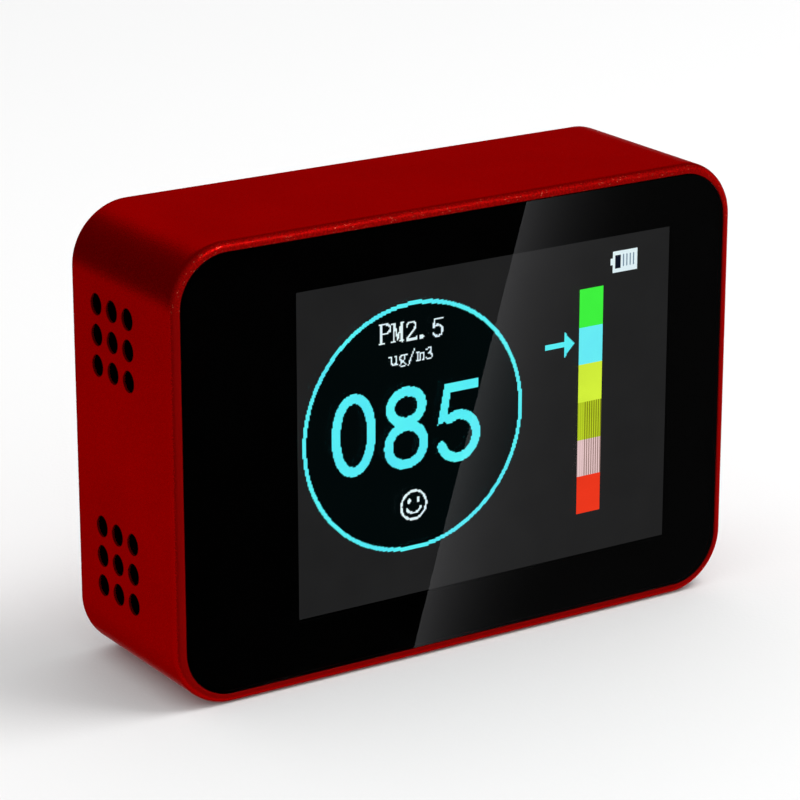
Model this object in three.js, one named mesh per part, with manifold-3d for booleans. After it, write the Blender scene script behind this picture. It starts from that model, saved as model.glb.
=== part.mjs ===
// A pocket air quality monitor: a milled aluminium frame with a glass front, a colour display,
// a laser dust sensor behind the vents in its left side, a pouch battery and a screwed rear cover.
// Millimetres. X runs to the right seen from the front, Y to the rear and Z up.
// The origin is the middle of the underside, on the surface that the monitor stands on.

import * as THREE from "three";
import { mergeVertices } from "three/addons/utils/BufferGeometryUtils.js";
import Module from "manifold-3d";

const wasm = await Module();
wasm.setup();

// ---------------------------------------------------------------- driving dimensions

const BODY = { width: 85, depth: 26, height: 60, corner: 8, edge: 1.2 };
const WALL = 2;
const LIP = 1.3; // metal left outside the glass in front and outside the cover behind
const FIT = 0.1; // clearance round a piece that drops into a seat
const ARC_STEPS = 7; // segments in a quarter turn of the body's corners
const SMALL_ARC_STEPS = 4;

// Depths behind the front face, from front to back.
const GLASS = { front: 0.05, back: 1.35 };
const MASK = { front: 1.4, back: 1.55 };
const GLASS_TAPE = { front: 1.6, back: 1.78 };
const LEDGE = { front: 1.8, back: 2.9, inset: 3.6, corner: 1.5 };
const DISPLAY = { front: 2.0, cellBack: 3.2, back: 4.4 };
const DISPLAY_TAPE = { front: 4.45, back: 4.85 };
const BOARD = { front: 4.9, back: 6.1, width: 77.6, height: 52.6, corner: 1.5 };
const ON_BOARD = BOARD.back + 0.05; // where parts soldered to the board's rear begin
const COVER = { front: 24.25, back: 25.9 };
const COVER_SEAT = 24.2;

// The display's lit area is 4:3, 2.8 inches across, and its flex tail is at the left.
const LIT = { width: 57.6, height: 43.2, centreX: 4.5 };
const MODULE = { width: 69.2, height: 50, rightMargin: 2.6 };

// Corner bosses take the board's screws in front and the cover's screws behind.
const BOSS = { inset: 5.2, radius: 3, front: 6.15 };
const COVER_SCREW = { head: 2, headDepth: 1.1, shank: 0.85, length: 7, recess: 0.7 };
const BOARD_SCREW = { head: 1.3, headDepth: 0.85, shank: 0.6, length: 5, recess: 0.45 };
const SCREW_CLEARANCE = 0.12;
const HEAD_CLEARANCE = 0.25;

// Two square grids of round vents in the left side.
const VENT = { radius: 1.4, pitch: 4, count: 3, depth: 15, spread: 14.7 };

// The dust sensor stands on its side behind the vents.
const SENSOR = { left: -39, width: 48, bottom: 9, height: 42, front: 9, back: 21, wall: 1.2 };
const FAN = { x: 11.5, z: 12.5, chamber: 10.3, tip: 9, blades: 11 };

// Controls in the right side.
const BUTTON = { width: 3.4, height: 9, proud: 0.8, depth: 8, z: 42 };
const USB = { width: 7.6, height: 2.7, length: 5.2, depth: 7.6, z: 18, recess: 0.5, sheet: 0.3 };

const BATTERY = { left: 10.3, width: 29.4, bottom: 8.8, height: 38, front: 14.4, back: 23.8 };

const midHeight = BODY.height / 2;
const insideRight = BODY.width / 2 - WALL;
const moduleRight = LIT.centreX + LIT.width / 2 + MODULE.rightMargin;
const moduleCentre = moduleRight - MODULE.width / 2;
const boardRight = BOARD.width / 2;

/** The Y of a point that lies so far behind the front face. */
const behind = (depth) => depth - BODY.depth / 2;

// ---------------------------------------------------------------- materials

/** A plain finish: colour, roughness and metalness. */
const finish = (color, roughness, metalness = 0) =>
  new THREE.MeshStandardMaterial({ color, roughness, metalness });

const RED_ALUMINIUM = finish(0x8c0404, 0.38, 0.7);
const CLEAR_GLASS = finish(0x0b0c0d, 0.05);
const BLACK_INK = finish(0x050505, 0.6);
const ADHESIVE = finish(0x1c1c1c, 0.8);
const DISPLAY_CELL = finish(0x202224, 0.2);
const WHITE_PLASTIC = finish(0xe6e6e0, 0.5);
const POLYIMIDE = finish(0xb0651c, 0.45);
const BOARD_GREEN = finish(0x0d4a2a, 0.45);
const CHIP_BLACK = finish(0x17171a, 0.55);
const NYLON = finish(0xe9e4d4, 0.5);
const BRIGHT_METAL = finish(0xc4c6c8, 0.3, 1);
const BLACK_PLASTIC = finish(0x151515, 0.5);
const SENSOR_BLUE = finish(0x2f4a73, 0.5);
const FOIL = finish(0xb9bcc0, 0.35, 0.8);
const YELLOW_TAPE = finish(0xd8a520, 0.4);
const RED_WIRE = finish(0xa81414, 0.5);
const BLACK_WIRE = finish(0x101010, 0.5);
const GREY_WIRE = finish(0x5a5c60, 0.5);
const FOAM = finish(0x232323, 0.95);
const MESH_STEEL = finish(0x3c3c3e, 0.5, 0.8);
const BRASS = finish(0xb08a3c, 0.35, 1);

// ---------------------------------------------------------------- outlines and solids

/** A rectangle with round corners, centred on (x, y). */
function roundedRect(x, y, width, height, corner) {
  const left = x - width / 2;
  const low = y - height / 2;
  const r = Math.min(corner, width / 2 - 0.001, height / 2 - 0.001);
  const quarter = Math.PI / 2;
  const outline = new THREE.Shape();
  outline.moveTo(left + r, low);
  outline.lineTo(left + width - r, low);
  outline.absarc(left + width - r, low + r, r, -quarter, 0, false);
  outline.lineTo(left + width, low + height - r);
  outline.absarc(left + width - r, low + height - r, r, 0, quarter, false);
  outline.lineTo(left + r, low + height);
  outline.absarc(left + r, low + height - r, r, quarter, 2 * quarter, false);
  outline.lineTo(left, low + r);
  outline.absarc(left + r, low + r, r, 2 * quarter, 3 * quarter, false);
  return outline;
}

/** The body's front outline, so far inside the outer faces. */
const bodyOutline = (inset, corner = BODY.corner - inset) =>
  roundedRect(0, midHeight, BODY.width - 2 * inset, BODY.height - 2 * inset, corner);

/** An outline in X and Z carried back from one depth to another. */
function prism(outline, from, to, curveSegments = ARC_STEPS) {
  const depth = to - from;
  return new THREE.ExtrudeGeometry(outline, { depth, bevelEnabled: false, curveSegments })
    .rotateX(Math.PI / 2)
    .translate(0, behind(to), 0);
}

/** A rectangular block between two corners, given as X, depth and Z. */
function block([x0, d0, z0], [x1, d1, z1]) {
  return new THREE.BoxGeometry(x1 - x0, d1 - d0, z1 - z0)
    .translate((x0 + x1) / 2, behind((d0 + d1) / 2), (z0 + z1) / 2);
}

/** An outline in depth and Z carried along X. */
function wallPrism(outline, from, to, curveSegments = SMALL_ARC_STEPS) {
  const depth = to - from;
  const axes = new THREE.Matrix4().makeBasis(
    new THREE.Vector3(0, 1, 0),
    new THREE.Vector3(0, 0, 1),
    new THREE.Vector3(1, 0, 0),
  );
  return new THREE.ExtrudeGeometry(outline, { depth, bevelEnabled: false, curveSegments })
    .applyMatrix4(axes)
    .translate(from, behind(0), 0);
}

/** An outline in X and depth carried up Z. */
const riser = (outline, from, to) =>
  new THREE.ExtrudeGeometry(outline, { depth: to - from, bevelEnabled: false, curveSegments: 6 })
    .translate(0, behind(0), from);

/** A round bar along the depth, centred on (x, z). */
const rod = (radius, x, z, from, to, sides = 16) =>
  new THREE.CylinderGeometry(radius, radius, to - from, sides)
    .translate(x, behind((from + to) / 2), z);

/** A solid that manifold-3d can join and cut. */
function solid(geometry) {
  const bare = geometry.index ? geometry.toNonIndexed() : geometry.clone();
  bare.deleteAttribute("normal");
  bare.deleteAttribute("uv");
  const merged = mergeVertices(bare, 1e-4);
  return new wasm.Manifold(
    new wasm.Mesh({
      numProp: 3,
      vertProperties: merged.attributes.position.array,
      triVerts: new Uint32Array(merged.index.array),
    }),
  );
}

/** The geometry of a joined or cut solid. */
function geometryOf(made) {
  const { vertProperties, triVerts } = made.getMesh();
  return new THREE.BufferGeometry()
    .setAttribute("position", new THREE.BufferAttribute(new Float32Array(vertProperties), 3))
    .setIndex(new THREE.BufferAttribute(new Uint32Array(triVerts), 1));
}

const join = (geometries) => geometries.map(solid).reduce((a, b) => a.add(b));
const cut = (base, geometries) => base.subtract(join(geometries));

/** Every corner of the body, as the signs of X and of Z about its middle. */
const CORNERS = [[-1, -1], [1, -1], [1, 1], [-1, 1]];
const bossPlace = ([sx, sz]) => [
  sx * (BODY.width / 2 - BOSS.inset),
  midHeight + sz * (midHeight - BOSS.inset),
];

const root = new THREE.Group();

/** Adds one named piece to a group, at a place in that group. */
function place(group, name, geometry, material, x = 0, y = 0, z = 0) {
  const mesh = new THREE.Mesh(geometry, material);
  mesh.name = name;
  mesh.position.set(x, y, z);
  group.add(mesh);
}

// ---------------------------------------------------------------- the case

/** The centres of the vents in the left side, as depth and Z. */
function ventCentres() {
  const steps = [...Array(VENT.count).keys()].map((i) => (i - (VENT.count - 1) / 2) * VENT.pitch);
  return [-1, 1].flatMap((side) =>
    steps.flatMap((across) =>
      steps.map((up) => [VENT.depth + across, midHeight + side * VENT.spread + up])));
}

/** One frame, milled through: a glass seat and ledge in front, a cover seat behind. */
function housingFrame() {
  const { edge, depth } = BODY;
  const block = new THREE.ExtrudeGeometry(bodyOutline(0), {
    depth: depth - 2 * edge,
    bevelThickness: edge,
    bevelSize: edge,
    bevelOffset: -edge,
    bevelSegments: 3,
    curveSegments: ARC_STEPS,
  }).rotateX(Math.PI / 2).translate(0, behind(depth - edge), 0);
  const hollow = cut(solid(block), [
    prism(bodyOutline(LIP), -1, LEDGE.front),
    prism(bodyOutline(LEDGE.inset, LEDGE.corner), 1, LEDGE.back + 0.1, SMALL_ARC_STEPS),
    prism(bodyOutline(WALL), LEDGE.back, COVER_SEAT + 0.1),
    prism(bodyOutline(LIP), COVER_SEAT, depth + 1),
  ]);
  const bosses = CORNERS.map(bossPlace).map(([x, z]) => rod(BOSS.radius, x, z, BOSS.front, COVER_SEAT));
  const tappings = CORNERS.map(bossPlace).flatMap(([x, z]) => [
    rod(COVER_SCREW.shank + SCREW_CLEARANCE, x, z, COVER_SEAT - 8, COVER_SEAT + 1, 12),
    rod(BOARD_SCREW.shank + SCREW_CLEARANCE, x, z, BOSS.front - 1, BOSS.front + 6, 12),
  ]);
  const vents = ventCentres().map(([d, z]) =>
    new THREE.CylinderGeometry(VENT.radius, VENT.radius, 3 * WALL, 16)
      .rotateZ(Math.PI / 2)
      .translate(-BODY.width / 2, behind(d), z));
  const controls = [
    wallPrism(roundedRect(BUTTON.depth, BUTTON.z, BUTTON.width + 2 * FIT, BUTTON.height + 2 * FIT, 9),
      insideRight - 1, BODY.width / 2 + 1),
    wallPrism(roundedRect(USB.depth, USB.z, USB.height + 0.8, USB.width + 0.8, 1),
      insideRight - 1, BODY.width / 2 + 1),
  ];
  const withBosses = hollow.add(join(bosses));
  return geometryOf(cut(withBosses, [...tappings, ...vents, ...controls]));
}

/** The rear cover, with a countersunk hole over each boss. */
function rearCover() {
  const { head, headDepth, shank } = COVER_SCREW;
  const wide = head + HEAD_CLEARANCE;
  const narrow = shank + 2 * SCREW_CLEARANCE;
  const holes = CORNERS.map(bossPlace).flatMap(([x, z]) => [
    new THREE.CylinderGeometry(wide, narrow, headDepth, 16)
      .translate(x, behind(COVER.back - headDepth / 2), z),
    rod(wide, x, z, COVER.back - 0.001, COVER.back + 1),
    rod(narrow, x, z, COVER.front - 1, COVER.back - headDepth + 0.001),
  ]);
  return geometryOf(cut(solid(prism(bodyOutline(LIP + FIT), COVER.front, COVER.back)), holes));
}

/** A cross recess of two blades, for the top of a screw whose axis is Y, its head towards +Y. */
function crossRecess(reach, depth, top) {
  return [[1, 0.3], [0.3, 1]].map(([a, b]) =>
    new THREE.BoxGeometry(2 * reach * a, depth, 2 * reach * b).translate(0, top - depth / 2 + 0.01, 0));
}

/** A countersunk screw. The origin is the middle of its flat top and it points towards -Y. */
function countersunkScrew({ head, headDepth, shank, length, recess }) {
  const profile = [
    [0, -length],
    [shank * 0.6, -length],
    [shank, -length + 0.6],
    [shank, -headDepth],
    [head, -0.15],
    [head, 0],
    [0, 0],
  ].map(([x, y]) => new THREE.Vector2(x, y));
  const body = solid(new THREE.LatheGeometry(profile, 16));
  return geometryOf(cut(body, crossRecess(head * 0.6, recess, 0)));
}

/** A pan head screw. The origin is under its head, and it points towards +Y. */
function panScrew({ head, headDepth, shank, length, recess }) {
  const profile = [
    [0, -headDepth],
    [head * 0.7, -headDepth],
    [head, -headDepth * 0.6],
    [head, 0],
    [shank, 0],
    [shank, length - 0.5],
    [shank * 0.5, length],
    [0, length],
  ].map(([x, y]) => new THREE.Vector2(x, y));
  const body = solid(new THREE.LatheGeometry(profile, 12));
  const slots = crossRecess(head * 0.6, recess, -headDepth + recess - 0.02);
  return geometryOf(cut(body, slots));
}

/** A fine woven screen, drawn here as a thin plate, that lies on the inside of the left side. */
const ventScreen = (side) => {
  const half = VENT.pitch * (VENT.count - 1) / 2 + VENT.radius + 0.5;
  const z = midHeight + side * VENT.spread;
  return block([-insideRight + 0.05, VENT.depth - half, z - half],
    [-insideRight + 0.3, VENT.depth + half, z + half]);
};

/** A foam frame that seals one port of the sensor to the left side. */
function ventGasket(side) {
  const z = midHeight + side * VENT.spread;
  const width = SENSOR.back - SENSOR.front;
  const outline = roundedRect(VENT.depth, z, width, 12.4, 0.6);
  outline.holes.push(roundedRect(VENT.depth, z, width - 1.4, 11, 0.5));
  return wallPrism(outline, -insideRight + 0.35, SENSOR.left - 0.05, 2);
}

const caseGroup = new THREE.Group();
place(caseGroup, "housing_frame", housingFrame(), RED_ALUMINIUM);
place(caseGroup, "rear_cover", rearCover(), RED_ALUMINIUM);
CORNERS.forEach((corner, i) => {
  const [x, z] = bossPlace(corner);
  place(caseGroup, `rear_screw_${i + 1}`, countersunkScrew(COVER_SCREW), BRIGHT_METAL,
    x, behind(COVER.back - 0.05), z);
  place(caseGroup, `board_screw_${i + 1}`, panScrew(BOARD_SCREW), BRIGHT_METAL,
    x, behind(BOARD.front - 0.05), z);
});
place(caseGroup, "outlet_screen", ventScreen(-1), MESH_STEEL);
place(caseGroup, "inlet_screen", ventScreen(1), MESH_STEEL);
place(caseGroup, "outlet_gasket", ventGasket(-1), FOAM);
place(caseGroup, "inlet_gasket", ventGasket(1), FOAM);
root.add(caseGroup);

// ---------------------------------------------------------------- glass and display

const litOutline = (margin) =>
  roundedRect(LIT.centreX, midHeight, LIT.width + 2 * margin, LIT.height + 2 * margin, 0.2);

/** A frame of thin sheet: one outline with another cut out of it. */
function sheetFrame(outer, inner, { front, back }, steps = SMALL_ARC_STEPS) {
  outer.holes.push(inner);
  return prism(outer, front, back, steps);
}

/** The backlight's white tray, with a pocket in front for the display cell. */
function backlightTray() {
  const outer = solid(prism(
    roundedRect(moduleCentre, midHeight, MODULE.width, MODULE.height, 0.6),
    DISPLAY.front, DISPLAY.back, 2));
  const pocket = prism(
    roundedRect(moduleCentre, midHeight, MODULE.width - 1.4, MODULE.height - 1.4, 0.4),
    DISPLAY.front - 1, DISPLAY.cellBack + 0.05, 2);
  return geometryOf(cut(outer, [pocket]));
}

/** A flat strip of one thickness that follows a line in X and depth. */
function strip(points, thickness, low, high) {
  const path = points.map(([x, d]) => new THREE.Vector2(x, d));
  const side = (sign) => path.map((p, i) => {
    const before = path[Math.max(i - 1, 0)];
    const after = path[Math.min(i + 1, path.length - 1)];
    const along = after.clone().sub(before).normalize();
    return new THREE.Vector2(-along.y, along.x).multiplyScalar(sign * thickness / 2).add(p);
  });
  const outline = new THREE.Shape([...side(1), ...side(-1).reverse()]);
  return riser(outline, low, high);
}

/** The display's tail: left out of the tray, round the board's edge and back to its socket. */
const TAIL = { turnX: -36.6, front: 3.5, back: 7.1, width: 18, steps: 10 };
function displayTail() {
  const centre = (TAIL.front + TAIL.back) / 2;
  const radius = (TAIL.back - TAIL.front) / 2;
  const turn = [...Array(TAIL.steps + 1).keys()].map((i) => {
    const angle = -Math.PI / 2 - (i / TAIL.steps) * Math.PI;
    return [TAIL.turnX + radius * Math.cos(angle), centre + radius * Math.sin(angle)];
  });
  const start = [moduleCentre - MODULE.width / 2 - 0.1, TAIL.front];
  const points = [start, ...turn, [-31.2, TAIL.back]];
  return strip(points, 0.2, midHeight - TAIL.width / 2, midHeight + TAIL.width / 2);
}

const displayGroup = new THREE.Group();
place(displayGroup, "front_glass", prism(bodyOutline(LIP + FIT), GLASS.front, GLASS.back), CLEAR_GLASS);
place(displayGroup, "black_mask_film",
  sheetFrame(bodyOutline(LIP + 2 * FIT), litOutline(0.1), MASK), BLACK_INK);
place(displayGroup, "glass_tape",
  sheetFrame(bodyOutline(LIP + 0.3), bodyOutline(LEDGE.inset, LEDGE.corner), GLASS_TAPE), ADHESIVE);
place(displayGroup, "display_cell", prism(
  roundedRect(moduleCentre, midHeight, MODULE.width - 1.6, MODULE.height - 1.6, 0.3),
  DISPLAY.front, DISPLAY.cellBack, 2), DISPLAY_CELL);
place(displayGroup, "display_backlight", backlightTray(), WHITE_PLASTIC);
place(displayGroup, "display_tape", sheetFrame(
  roundedRect(moduleCentre, midHeight, MODULE.width - 2, MODULE.height - 2, 0.5),
  roundedRect(moduleCentre, midHeight, MODULE.width - 12, MODULE.height - 12, 0.5),
  DISPLAY_TAPE, 2), ADHESIVE);
place(displayGroup, "display_tail", displayTail(), POLYIMIDE);
root.add(displayGroup);

// ---------------------------------------------------------------- main board

/** The main board: screw holes in its corners and a notch where the display's tail turns. */
function mainBoard() {
  const outline = roundedRect(0, midHeight, BOARD.width, BOARD.height, BOARD.corner);
  const holes = CORNERS.map(bossPlace).map(([x, z]) =>
    rod(BOARD_SCREW.shank + 0.3, x, z, BOARD.front - 1, BOARD.back + 1, 12));
  const notch = block([-boardRight - 1, BOARD.front - 1, midHeight - 12],
    [-boardRight + 2.5, BOARD.back + 1, midHeight + 12]);
  return geometryOf(cut(solid(prism(outline, BOARD.front, BOARD.back, SMALL_ARC_STEPS)), [...holes, notch]));
}

/** A flat package with gull-wing legs on its four sides, its foot on the board. */
function controllerChip() {
  const size = 10;
  const legs = 10;
  const pitch = 0.8;
  const made = [block([-size / 2, 0.1, -size / 2], [size / 2, 1.5, size / 2])];
  for (let i = 0; i < legs; i++) {
    const at = (i - (legs - 1) / 2) * pitch;
    made.push(block([-size / 2 - 1, 0, at - 0.15], [size / 2 + 1, 0.2, at + 0.15]));
    made.push(block([at - 0.15, 0, -size / 2 - 1], [at + 0.15, 0.2, size / 2 + 1]));
  }
  return geometryOf(join(made).translate([0, BODY.depth / 2, 0]));
}

/** A small package with four legs on each of two sides. */
function chargerChip() {
  const made = [block([-2, 0.15, -2.5], [2, 1.6, 2.5])];
  for (const at of [-1.9, -0.63, 0.63, 1.9]) {
    made.push(block([-3.1, 0, at - 0.2], [3.1, 0.25, at + 0.2]));
  }
  return geometryOf(join(made).translate([0, BODY.depth / 2, 0]));
}

/** A wound inductor: a drum with a waist between two flanges. */
const powerInductor = () => new THREE.LatheGeometry(
  [[0, 0], [2.4, 0], [2.4, 0.6], [1.9, 0.6], [1.9, 1.9], [2.4, 1.9], [2.4, 2.5], [0, 2.5]]
    .map(([x, y]) => new THREE.Vector2(x, y)), 16);

/** A socket for a plug: a box with a pocket in the side that faces the rear. */
function rearSocket(width, height, deep, wall) {
  const shell = block([-width / 2, 0, -height / 2], [width / 2, deep, height / 2]);
  const pocket = block([-width / 2 + wall, wall, -height / 2 + wall],
    [width / 2 - wall, deep + 1, height / 2 - wall]);
  return geometryOf(cut(solid(shell), [pocket]).translate([0, BODY.depth / 2, 0]));
}

/** A socket for a plug that comes in from the right. */
function sideSocket(width, height, deep, wall) {
  const shell = block([0, 0, -height / 2], [width, deep, height / 2]);
  const pocket = block([width - 3, wall, -height / 2 + wall], [width + 1, deep - wall, height / 2 - wall]);
  return geometryOf(cut(solid(shell), [pocket]).translate([0, BODY.depth / 2, 0]));
}

const BATTERY_SOCKET = { x: 24, z: 52.4, width: 7.4, height: 5, deep: 3.4, wall: 0.7 };
const SENSOR_SOCKET = { x: 1.2, z: 30, width: 5.4, height: 12, deep: 2.7, wall: 0.6 };
const TAIL_SOCKET = { x: -31, width: 5, height: 21, deep: 1.6 };

/** The tail's socket: a low bar with a slot in its left side. */
function tailSocket() {
  const { x, width, height, deep } = TAIL_SOCKET;
  const bar = solid(block([x, ON_BOARD, midHeight - height / 2],
    [x + width, ON_BOARD + deep, midHeight + height / 2]));
  const slot = block([x - 1, TAIL.back - 0.25, midHeight - TAIL.width / 2 - 0.3],
    [x + 2, TAIL.back + 0.25, midHeight + TAIL.width / 2 + 0.3]);
  return geometryOf(cut(bar, [slot]));
}

const boardGroup = new THREE.Group();
const onBoard = behind(ON_BOARD);
place(boardGroup, "main_board", mainBoard(), BOARD_GREEN);
place(boardGroup, "tail_socket", tailSocket(), NYLON);
place(boardGroup, "controller_chip", controllerChip(), CHIP_BLACK, 22, onBoard, 34);
place(boardGroup, "charger_chip", chargerChip(), CHIP_BLACK, 29, onBoard, 20);
place(boardGroup, "power_inductor", powerInductor(), CHIP_BLACK, 20, onBoard, 20);
place(boardGroup, "clock_crystal",
  wallPrism(roundedRect(1.1, 0, 2.2, 4, 1), -5.5, 5.5).translate(0, BODY.depth / 2, 0),
  BRIGHT_METAL, 22, onBoard, 25.6);
place(boardGroup, "battery_socket", rearSocket(
  BATTERY_SOCKET.width, BATTERY_SOCKET.height, BATTERY_SOCKET.deep, BATTERY_SOCKET.wall),
NYLON, BATTERY_SOCKET.x, onBoard, BATTERY_SOCKET.z);
place(boardGroup, "sensor_socket", sideSocket(
  SENSOR_SOCKET.width, SENSOR_SOCKET.height, SENSOR_SOCKET.deep, SENSOR_SOCKET.wall),
NYLON, SENSOR_SOCKET.x, onBoard, SENSOR_SOCKET.z);
root.add(boardGroup);

// ---------------------------------------------------------------- USB socket and power button

/** The socket's outline in depth and Z: two corners of one long side are cut away. */
function usbOutline(inset) {
  const half = USB.width / 2 - inset;
  const front = USB.depth - USB.height / 2 + inset;
  const back = USB.depth + USB.height / 2 - inset;
  const slope = 0.9;
  const corners = [
    [front, -half],
    [back - slope, -half],
    [back, -half + slope],
    [back, half - slope],
    [back - slope, half],
    [front, half],
  ];
  return new THREE.Shape(corners.map(([d, z]) => new THREE.Vector2(d, USB.z + z)));
}

const usbMouth = BODY.width / 2 - USB.recess;

/** The socket's steel shell, open at both ends. */
function usbShell() {
  const outline = usbOutline(0);
  outline.holes.push(usbOutline(USB.sheet));
  return wallPrism(outline, usbMouth - USB.length, usbMouth);
}

/** The moulding inside the shell: a plug at its inner end that carries the contact tongue. */
function usbTongue() {
  const base = wallPrism(usbOutline(USB.sheet + 0.05), usbMouth - USB.length, usbMouth - USB.length + 1.2);
  const tongue = block([usbMouth - USB.length + 1, USB.depth - 0.75, USB.z - 1.9],
    [usbMouth - 0.9, USB.depth - 0.15, USB.z + 1.9]);
  return geometryOf(join([base, tongue]));
}

const BUTTON_FLANGE = { margin: 0.7, thick: 0.8, play: 0.15 };
const flangeOuter = insideRight - BUTTON_FLANGE.play;
const flangeInner = flangeOuter - BUTTON_FLANGE.thick;

/** The button: a cap that fills the slot in the side, on a flange that keeps it in. */
function buttonCap() {
  const { width, height, depth, z, proud } = BUTTON;
  const { margin } = BUTTON_FLANGE;
  const face = BODY.width / 2 + proud;
  const stem = wallPrism(roundedRect(depth, z, width, height, 9), flangeInner, face - 0.3, 6);
  const crown = wallPrism(roundedRect(depth, z, width - 0.5, height - 0.5, 9), flangeInner, face, 6);
  const flange = wallPrism(roundedRect(depth, z, width + 2 * margin, height + 2 * margin, 9),
    flangeInner, flangeOuter, 6);
  return geometryOf(join([stem, crown, flange]));
}

const SWITCH = { width: 3.4, height: 6.2, deep: 3.7, right: 38.1 };
const PLUNGER = { radius: 0.8, tip: flangeInner - 0.05, root: 36.9 };

/** A plunger or a bore along X at the button's axis. */
const axialRod = (radius, from, to) =>
  new THREE.CylinderGeometry(radius, radius, to - from, 16)
    .rotateZ(Math.PI / 2)
    .translate((from + to) / 2, behind(BUTTON.depth), BUTTON.z);

/** The tactile switch, with a bore for its plunger. */
function switchBody() {
  const { width, height, deep, right } = SWITCH;
  const base = solid(block([right - width, ON_BOARD, BUTTON.z - height / 2],
    [right, ON_BOARD + deep, BUTTON.z + height / 2]));
  return geometryOf(cut(base, [axialRod(PLUNGER.radius + 0.15, PLUNGER.root - 0.7, right + 1)]));
}

const controlGroup = new THREE.Group();
place(controlGroup, "usb_shell", usbShell(), BRIGHT_METAL);
place(controlGroup, "usb_tongue", usbTongue(), BLACK_PLASTIC);
place(controlGroup, "power_button_cap", buttonCap(), RED_ALUMINIUM);
place(controlGroup, "switch_body", switchBody(), CHIP_BLACK);
place(controlGroup, "switch_plunger", axialRod(PLUNGER.radius, PLUNGER.root, PLUNGER.tip), NYLON);
root.add(controlGroup);

// ---------------------------------------------------------------- battery

const batteryTop = BATTERY.bottom + BATTERY.height;
const batteryCentre = BATTERY.left + BATTERY.width / 2;

/** A tube round a smooth line through points given as X, depth and Z. */
function wire(points, radius, steps) {
  const extrudePath = new THREE.CatmullRomCurve3(
    points.map(([x, d, z]) => new THREE.Vector3(x, behind(d), z)));
  const section = new THREE.Shape();
  section.absarc(0, 0, radius, 0, 2 * Math.PI, false);
  return new THREE.ExtrudeGeometry(section, { extrudePath, steps, curveSegments: 8 });
}

const LEAD = { radius: 0.55, spacing: 2, steps: 14 };
const plugBack = ON_BOARD + BATTERY_SOCKET.deep + 2;

/** A battery lead, from the plug back and down to the protection board. */
function batteryLead(side) {
  const x = BATTERY_SOCKET.x + side * LEAD.spacing / 2;
  const z = BATTERY_SOCKET.z;
  return wire([
    [x, plugBack + 0.3, z],
    [x, plugBack + 2.5, z + 0.6],
    [x, 16.5, z + 0.4],
    [x, 18.8, z - 1.2],
    [x, 19.3, batteryTop + 3.2],
  ], LEAD.radius, LEAD.steps);
}

/** The plug, whose nose stands in the pocket of its socket. */
function batteryPlug() {
  const { x, z, width, height, wall } = BATTERY_SOCKET;
  const halfWidth = width / 2 - wall - 0.15;
  const halfHeight = height / 2 - wall - 0.15;
  return block([x - halfWidth, ON_BOARD + wall + 0.1, z - halfHeight],
    [x + halfWidth, plugBack, z + halfHeight]);
}

const batteryGroup = new THREE.Group();
place(batteryGroup, "battery_cell", prism(
  roundedRect(batteryCentre, BATTERY.bottom + BATTERY.height / 2, BATTERY.width, BATTERY.height, 1.5),
  BATTERY.front, BATTERY.back, SMALL_ARC_STEPS), FOIL);
place(batteryGroup, "battery_protection_board", block(
  [batteryCentre - 11, BATTERY.front + 2, batteryTop + 0.2],
  [batteryCentre + 11, BATTERY.back - 1, batteryTop + 2.6]), YELLOW_TAPE);
place(batteryGroup, "battery_tape", block(
  [BATTERY.left + 3, BATTERY.back + 0.05, BATTERY.bottom + 3],
  [BATTERY.left + BATTERY.width - 3, COVER.front - 0.05, batteryTop - 3]), ADHESIVE);
place(batteryGroup, "battery_plug", batteryPlug(), NYLON);
place(batteryGroup, "battery_lead_red", batteryLead(1), RED_WIRE);
place(batteryGroup, "battery_lead_black", batteryLead(-1), BLACK_WIRE);
root.add(batteryGroup);

// ---------------------------------------------------------------- dust sensor

// Inside the sensor, X and Z start at its lower left corner and depth at its front face.
const LID = { back: 0.8 };
const SENSOR_BOARD = { front: 0.95, back: 1.95, margin: 1.3 };
const AIR = { front: 2.1, back: SENSOR.back - SENSOR.front - SENSOR.wall };
const PORT = { lowZ: 1, highZ: SENSOR.height - 1, size: 10.6 };
const DUCT = { left: 33, right: SENSOR.width - SENSOR.wall - 4 };
const LASER = { radius: 2.4, length: 9, z: 24, depth: 6.6, right: 32.2 };

/** The sensor's base: air comes in at the top left, runs along, down past the laser and to the fan. */
function sensorBase() {
  const { width, height, back, front, wall } = SENSOR;
  const { left, right } = DUCT;
  const inlet = block([-1, AIR.front, PORT.highZ - PORT.size], [right, AIR.back, PORT.highZ]);
  const shaft = block([left, AIR.front, wall], [right, AIR.back, PORT.highZ]);
  const toFan = block([FAN.x, AIR.front, wall], [right, AIR.back, wall + 6]);
  const outlet = block([-1, AIR.front, PORT.lowZ], [FAN.x, AIR.back, PORT.lowZ + PORT.size]);
  const chamber = rod(FAN.chamber, FAN.x, FAN.z, AIR.front, AIR.back, 32);
  const boardSeat = block([SENSOR_BOARD.margin - 0.1, -1, SENSOR_BOARD.margin - 0.1],
    [width - SENSOR_BOARD.margin + 0.1, AIR.front + 0.01, height - SENSOR_BOARD.margin + 0.1]);
  const laserBore = new THREE.CylinderGeometry(LASER.radius + 0.1, LASER.radius + 0.1, LASER.length + 2, 16)
    .rotateZ(Math.PI / 2)
    .translate(LASER.right - LASER.length / 2 + 0.9, behind(LASER.depth), LASER.z);
  const outer = solid(prism(roundedRect(width / 2, height / 2, width, height, 1.5),
    LID.back + 0.05, back - front, SMALL_ARC_STEPS));
  return geometryOf(cut(outer, [inlet, shaft, toFan, outlet, chamber, boardSeat, laserBore]));
}

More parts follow.
